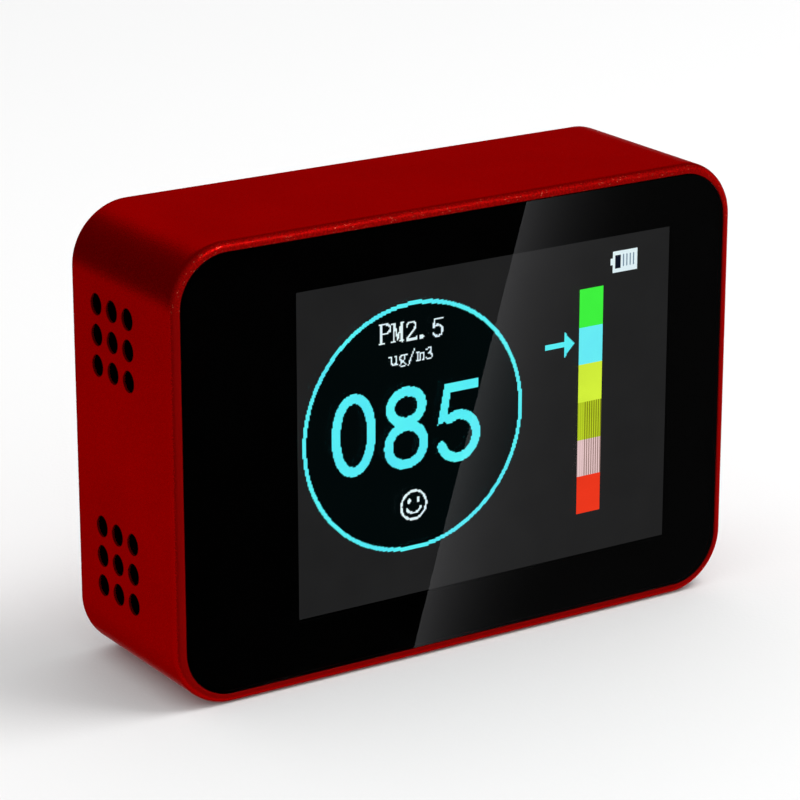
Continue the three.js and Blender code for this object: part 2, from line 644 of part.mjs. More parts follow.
/** The laser: a brass barrel with a lens bezel, lying along X. */
function laserModule() {
  const { radius, length, right } = LASER;
  const profile = [
    [0, -length],
    [radius, -length],
    [radius, -0.8],
    [radius - 0.5, 0],
    [0.9, 0],
    [0.9, -0.6],
    [0, -0.6],
  ].map(([x, y]) => new THREE.Vector2(x, y));
  return new THREE.LatheGeometry(profile, 16)
    .rotateZ(-Math.PI / 2)
    .translate(right, behind(LASER.depth), LASER.z);
}

const IMPELLER = { front: 3, plateFront: 8.6, plateBack: 9.4, hub: 4.9, bore: 4.3, bladeRoot: 5.6 };

/** The fan's fixed half: a base plate, the wound stator and the shaft. */
const fanMotor = () => geometryOf(join([
  rod(7.5, 0, 0, 9.7, AIR.back - 0.05, 24),
  rod(3.9, 0, 0, 4.6, 9.8),
  rod(0.6, 0, 0, 3.2, 5, 12),
]));

/** The impeller: a hub cup over the stator, a plate, and blades that lean forward. */
function fanImpeller() {
  const { front, plateFront, plateBack, hub, bore, bladeRoot } = IMPELLER;
  const height = plateFront - front + 0.2;
  const blades = [...Array(FAN.blades).keys()].map((i) =>
    new THREE.BoxGeometry(FAN.tip - bladeRoot, height, 0.6)
      .rotateY(0.6)
      .translate((FAN.tip + bladeRoot) / 2 - 0.3, behind(front + height / 2), 0)
      .rotateY((i / FAN.blades) * 2 * Math.PI));
  const disc = rod(FAN.tip, 0, 0, plateFront, plateBack, 32);
  const cup = rod(hub, 0, 0, 3.6, plateBack, 24);
  const inside = rod(bore, 0, 0, 4.4, plateBack + 1, 24);
  const shaftHole = rod(0.7, 0, 0, 2, 5, 12);
  return geometryOf(cut(join([disc, cup, ...blades]), [inside, shaftHole]));
}

/** The ribbon of wires from the sensor's right side forward to its socket on the main board. */
const CABLE = { out: 10.4, depth: 11.6, thick: 0.8, width: 9 };
function sensorCable() {
  const { out, depth, thick, width } = CABLE;
  const sensorRight = SENSOR.left + SENSOR.width;
  const plugRight = SENSOR_SOCKET.x + SENSOR_SOCKET.width + 1.2;
  const mid = ON_BOARD + SENSOR_SOCKET.deep / 2;
  const points = [
    [sensorRight + 0.1, depth],
    [out - 0.5, depth],
    [out, depth - 0.6],
    [out, mid + 0.6],
    [out - 0.5, mid],
    [plugRight + 0.1, mid],
  ];
  return strip(points, thick, SENSOR_SOCKET.z - width / 2, SENSOR_SOCKET.z + width / 2);
}

/** The sensor's plug, whose nose stands in the pocket of its socket. */
function sensorPlug() {
  const { x, z, width, height, deep, wall } = SENSOR_SOCKET;
  const reach = x + width;
  return block([reach - 2.8, ON_BOARD + wall + 0.1, z - height / 2 + wall + 0.1],
    [reach + 1.2, ON_BOARD + deep - wall - 0.1, z + height / 2 - wall - 0.1]);
}

const sensorGroup = new THREE.Group();
sensorGroup.position.set(SENSOR.left, SENSOR.front, SENSOR.bottom);
place(sensorGroup, "sensor_base", sensorBase(), SENSOR_BLUE);
place(sensorGroup, "sensor_lid", prism(
  roundedRect(SENSOR.width / 2, SENSOR.height / 2, SENSOR.width, SENSOR.height, 1.5),
  0, LID.back, SMALL_ARC_STEPS), BRIGHT_METAL);
place(sensorGroup, "sensor_board", block(
  [SENSOR_BOARD.margin, SENSOR_BOARD.front, SENSOR_BOARD.margin],
  [SENSOR.width - SENSOR_BOARD.margin, SENSOR_BOARD.back, SENSOR.height - SENSOR_BOARD.margin]),
BOARD_GREEN);
place(sensorGroup, "laser_module", laserModule(), BRASS);
place(sensorGroup, "photodiode", block(
  [DUCT.left + 3, SENSOR_BOARD.back + 0.05, LASER.z - 2],
  [DUCT.left + 7, SENSOR_BOARD.back + 1.6, LASER.z + 2]), CHIP_BLACK);
place(sensorGroup, "fan_motor", fanMotor(), BLACK_PLASTIC, FAN.x, 0, FAN.z);
place(sensorGroup, "fan_impeller", fanImpeller(), BLACK_PLASTIC, FAN.x, 0, FAN.z);
root.add(sensorGroup);

const sensorFittings = new THREE.Group();
place(sensorFittings, "sensor_cable", sensorCable(), GREY_WIRE);
place(sensorFittings, "sensor_plug", sensorPlug(), NYLON);
place(sensorFittings, "sensor_pad", block(
  [SENSOR.left + 8, SENSOR.back + 0.05, SENSOR.bottom + 8],
  [SENSOR.left + 40, COVER.front - 0.05, SENSOR.bottom + 34]), FOAM);
root.add(sensorFittings);

export default root;
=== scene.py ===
import bpy
import numpy as np
from mathutils import Euler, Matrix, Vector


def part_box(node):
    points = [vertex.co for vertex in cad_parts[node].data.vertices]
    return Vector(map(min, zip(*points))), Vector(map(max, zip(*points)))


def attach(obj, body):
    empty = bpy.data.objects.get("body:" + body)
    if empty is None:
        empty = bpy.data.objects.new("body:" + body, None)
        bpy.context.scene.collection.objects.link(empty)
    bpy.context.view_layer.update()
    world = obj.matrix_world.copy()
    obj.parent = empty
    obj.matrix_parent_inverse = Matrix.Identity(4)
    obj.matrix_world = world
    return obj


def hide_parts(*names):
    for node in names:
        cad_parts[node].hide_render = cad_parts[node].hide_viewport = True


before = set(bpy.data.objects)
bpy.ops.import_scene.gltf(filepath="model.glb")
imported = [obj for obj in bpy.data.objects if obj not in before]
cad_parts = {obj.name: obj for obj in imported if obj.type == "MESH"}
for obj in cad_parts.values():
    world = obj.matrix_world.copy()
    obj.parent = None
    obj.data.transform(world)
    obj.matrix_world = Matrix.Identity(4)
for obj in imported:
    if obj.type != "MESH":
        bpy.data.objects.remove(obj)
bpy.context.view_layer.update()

# ---- Camera -------------------------------------------------------------------------------
# Not part of the monitor. A long lens stands to the front left and looks down a little, so
# that the glass, the vented left side and the top all show.
MM = 0.001
LENS = 155.3
SENSOR_WIDTH = 36.0
CAMERA_AT = (-234.56 * MM, -359.66 * MM, 170.52 * MM)
LOOK_RIGHT = np.radians(32.96)
LOOK_DOWN = np.radians(18.09)

lens_camera = bpy.data.cameras.new("camera")
lens_camera.lens = LENS
lens_camera.sensor_width = SENSOR_WIDTH
lens_camera.clip_start = 0.02
lens_camera.clip_end = 20.0
camera = bpy.data.objects.new("camera", lens_camera)
camera.location = CAMERA_AT
camera.rotation_euler = Euler((np.pi / 2 - LOOK_DOWN, 0.0, -LOOK_RIGHT))
bpy.context.scene.collection.objects.link(camera)
bpy.context.scene.camera = camera
bpy.context.scene.view_settings.view_transform = "Standard"

# ---- Studio floor -------------------------------------------------------------------------
# Not part of the monitor: a wide sheet of matt white paper. Polished pieces don't mirror it,
# as with a dark cloth laid in front of the glass.


class Value:
    """One output of a node. Sums, differences and products of values add Math nodes."""

    def __init__(self, graph, socket):
        self.graph = graph
        self.socket = socket

    def __add__(self, other):
        return self.graph.math("ADD", self, other)

    def __radd__(self, other):
        return self.graph.math("ADD", other, self)

    def __sub__(self, other):
        return self.graph.math("SUBTRACT", self, other)

    def __rsub__(self, other):
        return self.graph.math("SUBTRACT", other, self)

    def __mul__(self, other):
        return self.graph.math("MULTIPLY", self, other)

    def __rmul__(self, other):
        return self.graph.math("MULTIPLY", other, self)


class Finish:
    """A material: constants go on its Principled shader, and nodes feed what varies."""

    def __init__(self, name, **constants):
        self.material = bpy.data.materials.new(name)
        self.material.use_nodes = True
        self.tree = self.material.node_tree
        self.shader = self.tree.nodes["Principled BSDF"]
        for socket, value in constants.items():
            self.shader.inputs[socket.replace("_", " ")].default_value = value
        self.place = self.add("ShaderNodeTexCoord", output="Object")

    def add(self, kind, settings=None, inputs=None, output=0):
        """Adds a node: its settings first, then a value or a link for each socket."""
        node = self.tree.nodes.new(kind)
        for key, value in (settings or {}).items():
            setattr(node, key, value)
        for key, value in (inputs or {}).items():
            self.feed(node.inputs[key], value)
        return Value(self, node.outputs[output])

    def feed(self, socket, value):
        if isinstance(value, Value):
            self.tree.links.new(value.socket, socket)
        else:
            socket.default_value = value

    def math(self, operation, first, second=0.0):
        return self.add("ShaderNodeMath", {"operation": operation}, {0: first, 1: second})

    def axes(self, vector):
        """The three coordinates of a vector."""
        node = self.add("ShaderNodeSeparateXYZ", inputs={0: vector}).socket.node
        return [Value(self, socket) for socket in node.outputs]

    def between(self, coordinate, low, high):
        """One where a coordinate lies between two limits in millimetres, and zero elsewhere."""
        above = self.math("GREATER_THAN", coordinate, low * MM)
        return above * self.math("LESS_THAN", coordinate, high * MM)

    def noise(self, size, detail=2.0, stretch=(1.0, 1.0, 1.0)):
        """Smooth noise from 0 to 1, with features of about that size in metres."""
        place = self.add("ShaderNodeVectorMath", {"operation": "MULTIPLY"}, {0: self.place, 1: stretch})
        inputs = {"Vector": place, "Scale": 1.0 / size, "Detail": detail}
        return self.add("ShaderNodeTexNoise", inputs=inputs)

    def spread(self, value, low, high):
        """Stretches the middle of a noise to run from low to high."""
        inputs = {"Value": value, "From Min": 0.3, "From Max": 0.7, "To Min": low, "To Max": high}
        return self.add("ShaderNodeMapRange", inputs=inputs)

    def blend(self, share, first, second):
        """Mixes two colours."""
        return self.add("ShaderNodeMix", {"data_type": "RGBA"}, {0: share, 6: first, 7: second}, 2)

    def bump(self, height, depth):
        """Lets a height from 0 to 1 tilt the surface, as relief of that depth in metres."""
        inputs = {"Height": height, "Distance": depth, "Strength": 1.0}
        self.set(Normal=self.add("ShaderNodeBump", inputs=inputs))

    def set(self, **links):
        for socket, value in links.items():
            self.feed(self.shader.inputs[socket.replace("_", " ")], value)


def piece_from(name, points, faces, finish):
    """An object at the origin, unturned and unscaled, with its place in its mesh."""
    mesh = bpy.data.meshes.new(name)
    mesh.from_pydata(np.asarray(points, float).tolist(), [], faces)
    mesh.validate()
    mesh.materials.append(finish.material)
    piece = bpy.data.objects.new(name, mesh)
    bpy.context.scene.collection.objects.link(piece)
    return piece


paper = Finish("white_paper", Roughness=0.9, Specular_IOR_Level=0.1)
paper.set(Base_Color=paper.blend(paper.noise(0.35), (0.80, 0.80, 0.80, 1), (0.84, 0.84, 0.84, 1)))
paper.bump(paper.noise(0.0006), 0.00002)

FLOOR_REACH = 6.0
FLOOR_DROP = 0.02 * MM  # keeps it from lying in the very plane of the case's underside
floor_corners = FLOOR_REACH * np.array([[-1, -1, 0], [1, -1, 0], [1, 1, 0], [-1, 1, 0]])
floor_corners[:, 2] -= FLOOR_DROP
studio_floor = piece_from("studio_floor", floor_corners, [[0, 1, 2, 3]], paper)
studio_floor.visible_glossy = False
studio_floor.visible_transmission = False

# ---- Studio light -------------------------------------------------------------------------
# Not part of the monitor: white surroundings, one large soft box above and to the front, and
# white screens all round that nothing but a reflection shows.
world = bpy.data.worlds.new("studio")
world.use_nodes = True
world.node_tree.nodes["Background"].inputs["Color"].default_value = (1, 1, 1, 1)
world.node_tree.nodes["Background"].inputs["Strength"].default_value = 0.88
world.cycles_visibility.glossy = False
world.cycles_visibility.transmission = False
bpy.context.scene.world = world


def soft_box(name, at, aim, size, power):
    """An area light at a point, turned to face another point."""
    lamp = bpy.data.lights.new(name, "AREA")
    lamp.shape = "RECTANGLE"
    lamp.size, lamp.size_y = size
    lamp.energy = power
    box = bpy.data.objects.new(name, lamp)
    box.location = at
    direction = np.array(aim) - np.array(at)
    flat = np.hypot(direction[0], direction[1])
    box.rotation_euler = (np.arctan2(flat, -direction[2]), 0.0, np.arctan2(-direction[0], direction[1]))
    bpy.context.scene.collection.objects.link(box)
    return box


key_box = soft_box("key_box", at=(0.40, -0.25, 0.85), aim=(0, 0, 0.03), size=(0.45, 0.45), power=4.4)
key_box.visible_glossy = False
key_box.visible_transmission = False


def card_from(name, corners, glow):
    """A flat glowing card that is seen only in reflections."""
    card = piece_from(name, corners, [[0, 1, 2, 3]], glow)
    for ray in ("camera", "diffuse", "transmission", "shadow"):
        setattr(card, "visible_" + ray, False)
    return card


def screen(name, corners, emission):
    """A card that glows evenly in white."""
    white = (1, 1, 1, 1)
    glow = Finish(name, Base_Color=(0, 0, 0, 1), Specular_IOR_Level=0.0, Emission_Color=white,
                  Emission_Strength=emission)
    return card_from(name, corners, glow)


def upright(x_a, y_a, x_b, y_b, low, high):
    """The corners of an upright card between two points on the floor plan, in metres."""
    return [[x_a, y_a, low], [x_b, y_b, low], [x_b, y_b, high], [x_a, y_a, high]]


def level(x_a, x_b, y_a, y_b, z):
    """The corners of a level card between four limits, in metres."""
    return [[x_a, y_a, z], [x_b, y_a, z], [x_b, y_b, z], [x_a, y_b, z]]


# The left screen shows in the vented side, the rear one in the top, the right one in the right
# side, the small bright one along the front rim, and the low one in the rounds that face down.
screen("left_screen", upright(-1.30, -0.30, -0.20, 1.60, -1.1, -0.145), 1.0)
screen("rear_screen", upright(-0.1, 1.0, 1.2, 0.8, -0.1, 1.6), 1.03)
screen("right_screen", upright(0.9, 0.8, 0.9, -0.35, -0.4, 0.5), 0.7)
screen("edge_screen", upright(0.10, -0.98, 0.50, -0.76, 0.62, 0.90), 9.5)
screen("low_screen", level(-0.6, 0.9, -0.16, 1.0, -0.4), 0.9)

# The card that the glass mirrors: a slanted strip, bright along its left side and fading to
# the right. It stands below and to the right, where the glass throws the camera's view.
GLARE_Y = -0.9
GLARE_LOW, GLARE_HIGH = -0.72, -0.10
GLARE_LEFT_LOW, GLARE_LEFT_HIGH = 0.487, 0.6715
GLARE_WIDTH = 0.22
GLARE_FADE = 11.0
glare_corners = [
    [GLARE_LEFT_LOW, GLARE_Y, GLARE_LOW],
    [GLARE_LEFT_LOW + GLARE_WIDTH, GLARE_Y, GLARE_LOW],
    [GLARE_LEFT_HIGH + GLARE_WIDTH, GLARE_Y, GLARE_HIGH],
    [GLARE_LEFT_HIGH, GLARE_Y, GLARE_HIGH],
]
glare = Finish("glare_card", Base_Color=(0, 0, 0, 1), Specular_IOR_Level=0.0, Emission_Strength=1.0)
glare_card = card_from("glare_card", glare_corners, glare)
glare_across = glare_card.data.uv_layers.new(name="across")
glare_across.data.foreach_set("uv", [0, 0, 1, 0, 1, 1, 0, 1])
glare_u = glare.axes(glare.add("ShaderNodeUVMap", {"uv_map": "across"}))[0]
glare_fade = glare.math("POWER", 1.0 - glare_u, GLARE_FADE)
glare.set(Emission_Color=glare.blend(glare_fade, (0.03, 0.03, 0.03, 1), (0.61, 0.61, 0.63, 1)))

# ---- Case ---------------------------------------------------------------------------------
# The case is one frame of aluminium, milled through from a slab, blasted with fine beads and
# anodised red. The vents and the slots for the controls are drilled and milled in its sides.
low, high = (np.array(corner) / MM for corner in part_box("housing_frame"))
WIDTH, DEPTH, HEIGHT = high - low
FRONT = low[1]
MIDDLE = HEIGHT / 2
CORNER = 8.0
EDGE_ROUND = 1.18
LIP = 1.3
WALL = 2.0
LEDGE_INSET = 3.6
LEDGE_FRONT = 1.8
LEDGE_BACK = 2.9
COVER_SEAT = 24.2
BREAK = 0.05  # the tiny flat that keeps each milled edge from being knife sharp
HOLD = 0.3  # how far from a curve a flat's own shading begins

RED = (0.295, 0.0004, 0.0004, 1)
SHEEN = (0.50, 0.002, 0.002, 1)
BLAST_DEPTH = 0.000026
# Painted highlight: the lighter colour of the front rim, where the edge catches the light.
RIM_HIGHLIGHT = (0.40, 0.0025, 0.0020, 1)
RIM_ENDS = (FRONT + 0.65) * MM
RIM_STARTS = (FRONT + 0.15) * MM
# Painted glints: the colour of bright grains sparkling in the painted highlight along the rim's top.
PAINTED_GLINT = (0.95, 0.22, 0.13, 1)
GRAIN = 1 / 3000
# The band along the rim's upper side, in millimetres, where the painted glints and rougher grains lie.
HIGHLIGHT_HEIGHTS = (52.0, 61.0)
VENT_LIT = 0.3  # how far daylight reaches into a vent
# Painted shade: the near black painted on the vents' walls deep in, where little light reaches.
VENT_PAINTED_SHADE = (0.006, 0.0001, 0.0001, 1)
VENT_DEPTHS, VENT_HEIGHTS = (-4.0, 8.0), (9.5, 50.5)  # the part of the side that the vents are in


def rounded_rectangle(width, height, corner, steps=24):
    """Points (u, v) and outward directions once round a rectangle with round corners.

    A corner point is the corner's centre plus the radius times (cos a, sin a). One more point
    on the straight at each end of a corner keeps the flats' shading flat."""
    quarter = np.linspace(0, np.pi / 2, steps + 1)
    turn = np.concatenate([[0], quarter, [np.pi / 2]])
    slide = np.concatenate([[-1], 0 * quarter, [1]])
    slide = slide * min(HOLD, (min(width, height) / 2 - corner) / 2)
    angle = (turn + np.arange(4)[:, None] * np.pi / 2).ravel()
    outward = np.stack([np.cos(angle), np.sin(angle)], 1)
    along = np.stack([-np.sin(angle), np.cos(angle)], 1)
    signs = np.repeat([[1, 1], [-1, 1], [-1, -1], [1, -1]], len(turn), axis=0)
    centre = signs * (np.array([width, height]) / 2 - corner)
    points = centre + corner * outward + np.tile(slide, 4)[:, None] * along
    return points, outward


def circle(radius, steps=64):
    """Points (u, v) and outward directions once round a circle."""
    angle = np.linspace(0, 2 * np.pi, steps, endpoint=False)
    outward = np.stack([np.cos(angle), np.sin(angle)], 1)
    return radius * outward, outward


def quarter_round(inset, depth, radius, start, steps=8):
    """A quarter circle about (inset, depth), from one angle in degrees to 90 degrees on."""
    angle = np.radians(np.linspace(start, start + 90, steps + 1))
    return np.stack([inset + radius * np.cos(angle), depth + radius * np.sin(angle)], 1).tolist()


def carried(path, profile, closed=False):
    """A profile carried round a path: each point is the path's point less the inset times its
    outward direction, at the profile's depth. An open profile is closed by two flat faces."""
    points, outward = path
    inset, depth = np.array(profile, float).T
    ring = points[None] - inset[:, None, None] * outward[None]
    inwards = np.broadcast_to(depth[:, None, None], ring.shape[:2] + (1,))
    grid = np.concatenate([ring[..., :1], inwards, ring[..., 1:]], 2)
    rows, columns = grid.shape[:2]
    index = np.arange(rows * columns).reshape(rows, columns)
    here, after = index[:-1], index[1:]
    if closed:
        here, after = index, np.roll(index, -1, 0)
    quads = np.stack([here, np.roll(here, -1, 1), np.roll(after, -1, 1), after], -1).reshape(-1, 4)
    faces = quads.tolist()
    if not closed:
        faces += [index[0, ::-1].tolist(), index[-1].tolist()]
    return grid.reshape(-1, 3), faces


def facing_front(shape, x=0.0, depth=0.0, z=0.0):
    """Sets a shape of (u, depth, v) in the front: u along X and v up, in metres."""
    points, faces = shape
    return (points + [x, FRONT + depth, z]) * MM, faces


def facing_side(shape, side, depth, z, proud=0.0):
    """Sets a shape in a side of the case: depth into the side, u along Y and v up."""
    points, faces = shape
    across, into, up = points.T
    placed = np.stack([side * (WIDTH / 2 + proud - into), FRONT + depth + across, z + up], 1)
    return placed * MM, faces


def joined(shapes):
    """Several shapes as one list of points and one of faces."""
    points, faces, count = [], [], 0
    for shape_points, shape_faces in shapes:
        points.append(shape_points)
        faces += [[corner + count for corner in face] for face in shape_faces]
        count += len(shape_points)
    return np.concatenate(points), faces


def face_outwards(piece):
    """Turns every face of a closed mesh to point out of it."""
    bpy.context.view_layer.objects.active = piece
    bpy.ops.object.select_all(action="DESELECT")
    piece.select_set(True)
    bpy.ops.object.mode_set(mode="EDIT")
    bpy.ops.mesh.select_all(action="SELECT")
    bpy.ops.mesh.normals_make_consistent(inside=False)
    bpy.ops.object.mode_set(mode="OBJECT")


SHARP = np.radians(22)


def smooth(piece):
    """Shades curves smooth and keeps real edges sharp."""
    piece.data.shade_smooth()
    piece.data.set_sharp_from_angle(angle=SHARP)


def carve(piece, shape):
    """Cuts a closed shape out of a piece for good."""
    cutter = piece_from("cutter", *shape, Finish("cutter"))
    face_outwards(cutter)
    modifier = piece.modifiers.new("cut", "BOOLEAN")
    modifier.object = cutter
    modifier.solver = "EXACT"
    bpy.context.view_layer.update()
    evaluated = piece.evaluated_get(bpy.context.evaluated_depsgraph_get())
    cut_mesh = bpy.data.meshes.new_from_object(evaluated)
    piece.modifiers.clear()
    old_mesh = piece.data
    piece.data = cut_mesh
    bpy.data.meshes.remove(old_mesh)
    cut_mesh.name = piece.name
    bpy.data.meshes.remove(cutter.data)


def finished(name, shape, finish, body, nodes, cuts=()):
    """A closed piece of the monitor that stands for some CAD nodes."""
    piece = piece_from(name, *shape, finish)
    face_outwards(piece)
    for cut in cuts:
        carve(piece, cut)
    smooth(piece)
    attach(piece, body)
    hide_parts(*nodes)
    return piece


def shaded(color, factor):
    """A colour made lighter or darker, with its alpha of 1."""
    return tuple(min(channel * factor, 1.0) for channel in color[:3]) + (1.0,)


def anodised(name, grain=1.0):
    """Red anodising over a bead-blasted face: fine pits and faint clouding of the dye. The front
    rim's colour is painted lighter as a painted highlight, with painted glints on single grains
    along its upper side. The vents' far ends, deep in the wall, are painted dark as painted shade."""
    red = Finish(name, Specular_IOR_Level=0.0, Specular_Tint=SHEEN)
    across, depth, height = red.axes(red.place)

    # The dye is a little darker in the pits, and drifts in wide faint clouds.
    pits = red.noise(0.00022, 3.0)
    clouds = red.noise(0.012, 3.0)
    dye = red.blend(red.spread(clouds, 0.0, 1.0), shaded(RED, 0.95), shaded(RED, 1.05))
    pitted = red.blend(red.spread(pits, 0.0, 0.2), dye, shaded(RED, 0.8))

    # Painted highlight: the rim's colour is painted lighter, fading in towards the front.
    # Painted glints: single grains in patches along its upper side are painted bright.
    rim = red.add("ShaderNodeMapRange", inputs={"Value": depth, "From Min": RIM_ENDS, "From Max": RIM_STARTS})
    highlight_band = rim * red.between(height, *HIGHLIGHT_HEIGHTS)
    grains = red.add("ShaderNodeTexVoronoi", inputs={"Vector": red.place, "Scale": 1 / GRAIN})
    patches = red.math("GREATER_THAN", red.noise(0.0007), 0.53)
    painted_glints = red.math("LESS_THAN", grains, 0.24) * patches * highlight_band
    edged = red.blend(painted_glints * 0.5, red.blend(rim, pitted, RIM_HIGHLIGHT), PAINTED_GLINT)
    dull = red.math("GREATER_THAN", red.noise(0.0003), 0.5)

    # Painted shade: the walls of the vents are painted dark from a little way in.
    far_in = red.between(across, -WIDTH / 2 + VENT_LIT, -WIDTH / 2 + WALL + 0.5)
    near_vents = red.between(depth, *VENT_DEPTHS) * red.between(height, *VENT_HEIGHTS)

    red.set(Base_Color=red.blend(far_in * near_vents, edged, VENT_PAINTED_SHADE))
    red.set(Metallic=0.72 - rim * 0.22)
    red.set(Roughness=red.spread(pits, 0.26, 0.34) - rim * 0.08 + highlight_band * (dull * 0.22 - 0.07))
    red.bump(red.noise(0.00016, 2.0), BLAST_DEPTH * grain)
    return red


def case_profile():
    """The frame's cross-section, as inset from the outside and depth from the front."""
    return [
        (0, DEPTH - EDGE_ROUND - HOLD),
        (0, EDGE_ROUND + HOLD),
        *quarter_round(EDGE_ROUND, EDGE_ROUND, EDGE_ROUND, 180),
        (LIP - BREAK, 0),
        (LIP, BREAK),
        (LIP, LEDGE_FRONT),
        (LEDGE_INSET, LEDGE_FRONT),
        (LEDGE_INSET, LEDGE_BACK),
        (WALL, LEDGE_BACK),
        (WALL, COVER_SEAT),
        (LIP, COVER_SEAT),
        (LIP, DEPTH - BREAK),
        (LIP - BREAK, DEPTH),
        *quarter_round(EDGE_ROUND, DEPTH - EDGE_ROUND, EDGE_ROUND, 90),
    ]


VENT = {"radius": 1.4, "pitch": 4.0, "count": 3, "depth": 15.0, "spread": 14.7, "chamfer": 0.05}


def vent_places():
    """The depth and height of each vent: two square grids, above and below the middle."""
    steps = VENT["pitch"] * (np.arange(VENT["count"]) - (VENT["count"] - 1) / 2)
    depths, heights = np.meshgrid(VENT["depth"] + steps, steps)
    for side in (-1, 1):
        yield from zip(depths.ravel(), (heights + MIDDLE + side * VENT["spread"]).ravel())


def drilled(radius, chamfer, wall):
    """A drill through a wall, with a chamfer where it enters. Its path has the widest radius."""
    wide = radius + chamfer
    profile = [(0, -1), (0, 0), (chamfer, chamfer), (chamfer, wall + 1)]
    return carried(circle(wide, 48), profile)


BUTTON = {"width": 3.4, "height": 9.0, "depth": 8.0, "z": 42.0, "proud": 0.8}
BUTTON_SLOT = {"gap": 0.1, "chamfer": 0.12}
SOCKET = {"width": 7.6, "height": 2.7, "length": 5.2, "depth": 7.6, "z": 18.0, "recess": 0.5}
SOCKET_SLOT = {"gap": 0.4, "corner": 0.9, "chamfer": 0.25}
SHORT_SIDE = 0.01  # how much less than half its width the radius of a round end is


def milled_slot(width, height, gap, corner, chamfer):
    """A cutter for a slot through the wall, with a gap round what stands in it, round corners
    and a chamfer where it enters."""
    wide = [size + 2 * (gap + chamfer) for size in (width, height)]
    profile = [(0, -1), (0, 0), (chamfer, chamfer), (chamfer, WALL + 1)]
    return carried(rounded_rectangle(*wide, corner + chamfer, 16), profile)


case_shape = carried(rounded_rectangle(WIDTH, HEIGHT, CORNER, 40), case_profile(), closed=True)
vent_drills = joined([
    facing_side(drilled(VENT["radius"], VENT["chamfer"], WALL), -1, depth, z)
    for depth, z in vent_places()
])
round_end = BUTTON["width"] / 2 + BUTTON_SLOT["gap"] - SHORT_SIDE
button_slot = milled_slot(BUTTON["width"], BUTTON["height"], corner=round_end, **BUTTON_SLOT)
socket_slot = milled_slot(SOCKET["height"], SOCKET["width"], **SOCKET_SLOT)
finished(
    "case", facing_front(case_shape, z=MIDDLE), anodised("anodised_red"), "case",
    ["housing_frame"],
    [
        vent_drills,
        facing_side(button_slot, 1, BUTTON["depth"], BUTTON["z"]),
        facing_side(socket_slot, 1, SOCKET["depth"], SOCKET["z"]),
    ],
)

# ---- Front glass --------------------------------------------------------------------------
# A plate of clear hardened glass with polished edges drops into the frame's front and is
# held by tape. Black ink behind it hides everything round the display's lit area.
GLASS_FRONT, GLASS_BACK = 0.05, 1.35
GLASS_INSET = LIP + 0.1
POLISH = 0.02  # how far the ground edges of the glass are softened
EASE = 0.3  # how far round a softened edge its middle point lies, as a share of its width


def plate_profile(front, back, soft):
    """A plate's edge, softened in front and behind, from its front face to its back face."""
    return [
        (soft + HOLD, front),
        (soft, front),
        (soft * EASE, front + soft * EASE),
        (0, front + soft),
        (0, back - soft),
        (soft * EASE, back - soft * EASE),
        (soft, back),
        (soft + HOLD, back),
    ]


def body_plate(inset, front, back, soft):
    """A plate with the case's outline, so far inside it."""
    outline = rounded_rectangle(WIDTH - 2 * inset, HEIGHT - 2 * inset, CORNER - inset, 40)
    return facing_front(carried(outline, plate_profile(front, back, soft)), z=MIDDLE)


clear_glass = Finish("clear_glass", Transmission_Weight=1.0, IOR=1.5, Roughness=0.0)
clear_glass.set(Base_Color=clear_glass.blend(clear_glass.noise(0.02), (0.97, 0.98, 0.98, 1), (1, 1, 1, 1)))
finished("glass", body_plate(GLASS_INSET, GLASS_FRONT, GLASS_BACK, POLISH), clear_glass, "case",
         ["front_glass"])

LIT_WIDTH, LIT_HEIGHT, LIT_X = 57.6, 43.2, 4.5
MASK_FRONT, MASK_BACK = 1.40, 1.55

ink = Finish("black_ink", Roughness=0.55, Specular_IOR_Level=0.15)
ink.set(Base_Color=ink.blend(ink.noise(0.0004), (0.0020, 0.0020, 0.0020, 1), (0.0028, 0.0028, 0.0028, 1)))
window = carried(rounded_rectangle(LIT_WIDTH + 0.2, LIT_HEIGHT + 0.2, 0.15, 4), [(0, 0), (0, 3)])
finished("ink_mask", body_plate(GLASS_INSET + 0.02, MASK_FRONT, MASK_BACK, 0.02), ink, "case",
         ["black_mask_film"], [facing_front(window, LIT_X, 0.5, MIDDLE)])

# ---- Display image ------------------------------------------------------------------------
# The display is a grid of 320 by 240 square dots lit from behind. Dots of one colour are cut
# here as one thin layer, each row of neighbouring dots as one strip.
DOTS_ACROSS, DOTS_DOWN = 320, 240
DOT = LIT_WIDTH / DOTS_ACROSS
IMAGE_DEPTH = 1.97
dot_u, dot_v = np.meshgrid(np.arange(DOTS_ACROSS) + 0.5, np.arange(DOTS_DOWN) + 0.5)


def lit_strips(dots, depth):
    """The strips of a grid of lit dots: a strip starts where a row turns on and ends where it
    turns off."""
    padded = np.pad(dots.astype(int), ((0, 0), (1, 1)))
    change = np.diff(padded, axis=1)
    row, start = np.nonzero(change == 1)
    end = np.nonzero(change == -1)[1]
    left = LIT_X - LIT_WIDTH / 2 + DOT * start
    right = LIT_X - LIT_WIDTH / 2 + DOT * end
    top = MIDDLE + LIT_HEIGHT / 2 - DOT * row
    bottom = top - DOT
    plane = np.full(len(row), FRONT + depth)
    corners = [(left, bottom), (right, bottom), (right, top), (left, top)]
    points = np.stack([np.stack([x, plane, z], 1) for x, z in corners], 1).reshape(-1, 3)
    return points * MM, np.arange(len(points)).reshape(-1, 4).tolist()


def lit_layer(name, dots, color, depth, unevenness=0.06):
    """One colour of the image: dots that glow, a little unevenly, behind a dark filter."""
    glow = Finish(name, Base_Color=(0, 0, 0, 1), Roughness=0.4, Specular_IOR_Level=0.0,
                  Emission_Strength=1.0)
    share = glow.spread(glow.noise(0.006), 0.0, 1.0)
    glow.set(Emission_Color=glow.blend(share, shaded(color, 1 - unevenness), shaded(color, 1 + unevenness)))
    layer = piece_from(name, *lit_strips(dots, depth), glow)
    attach(layer, "case")


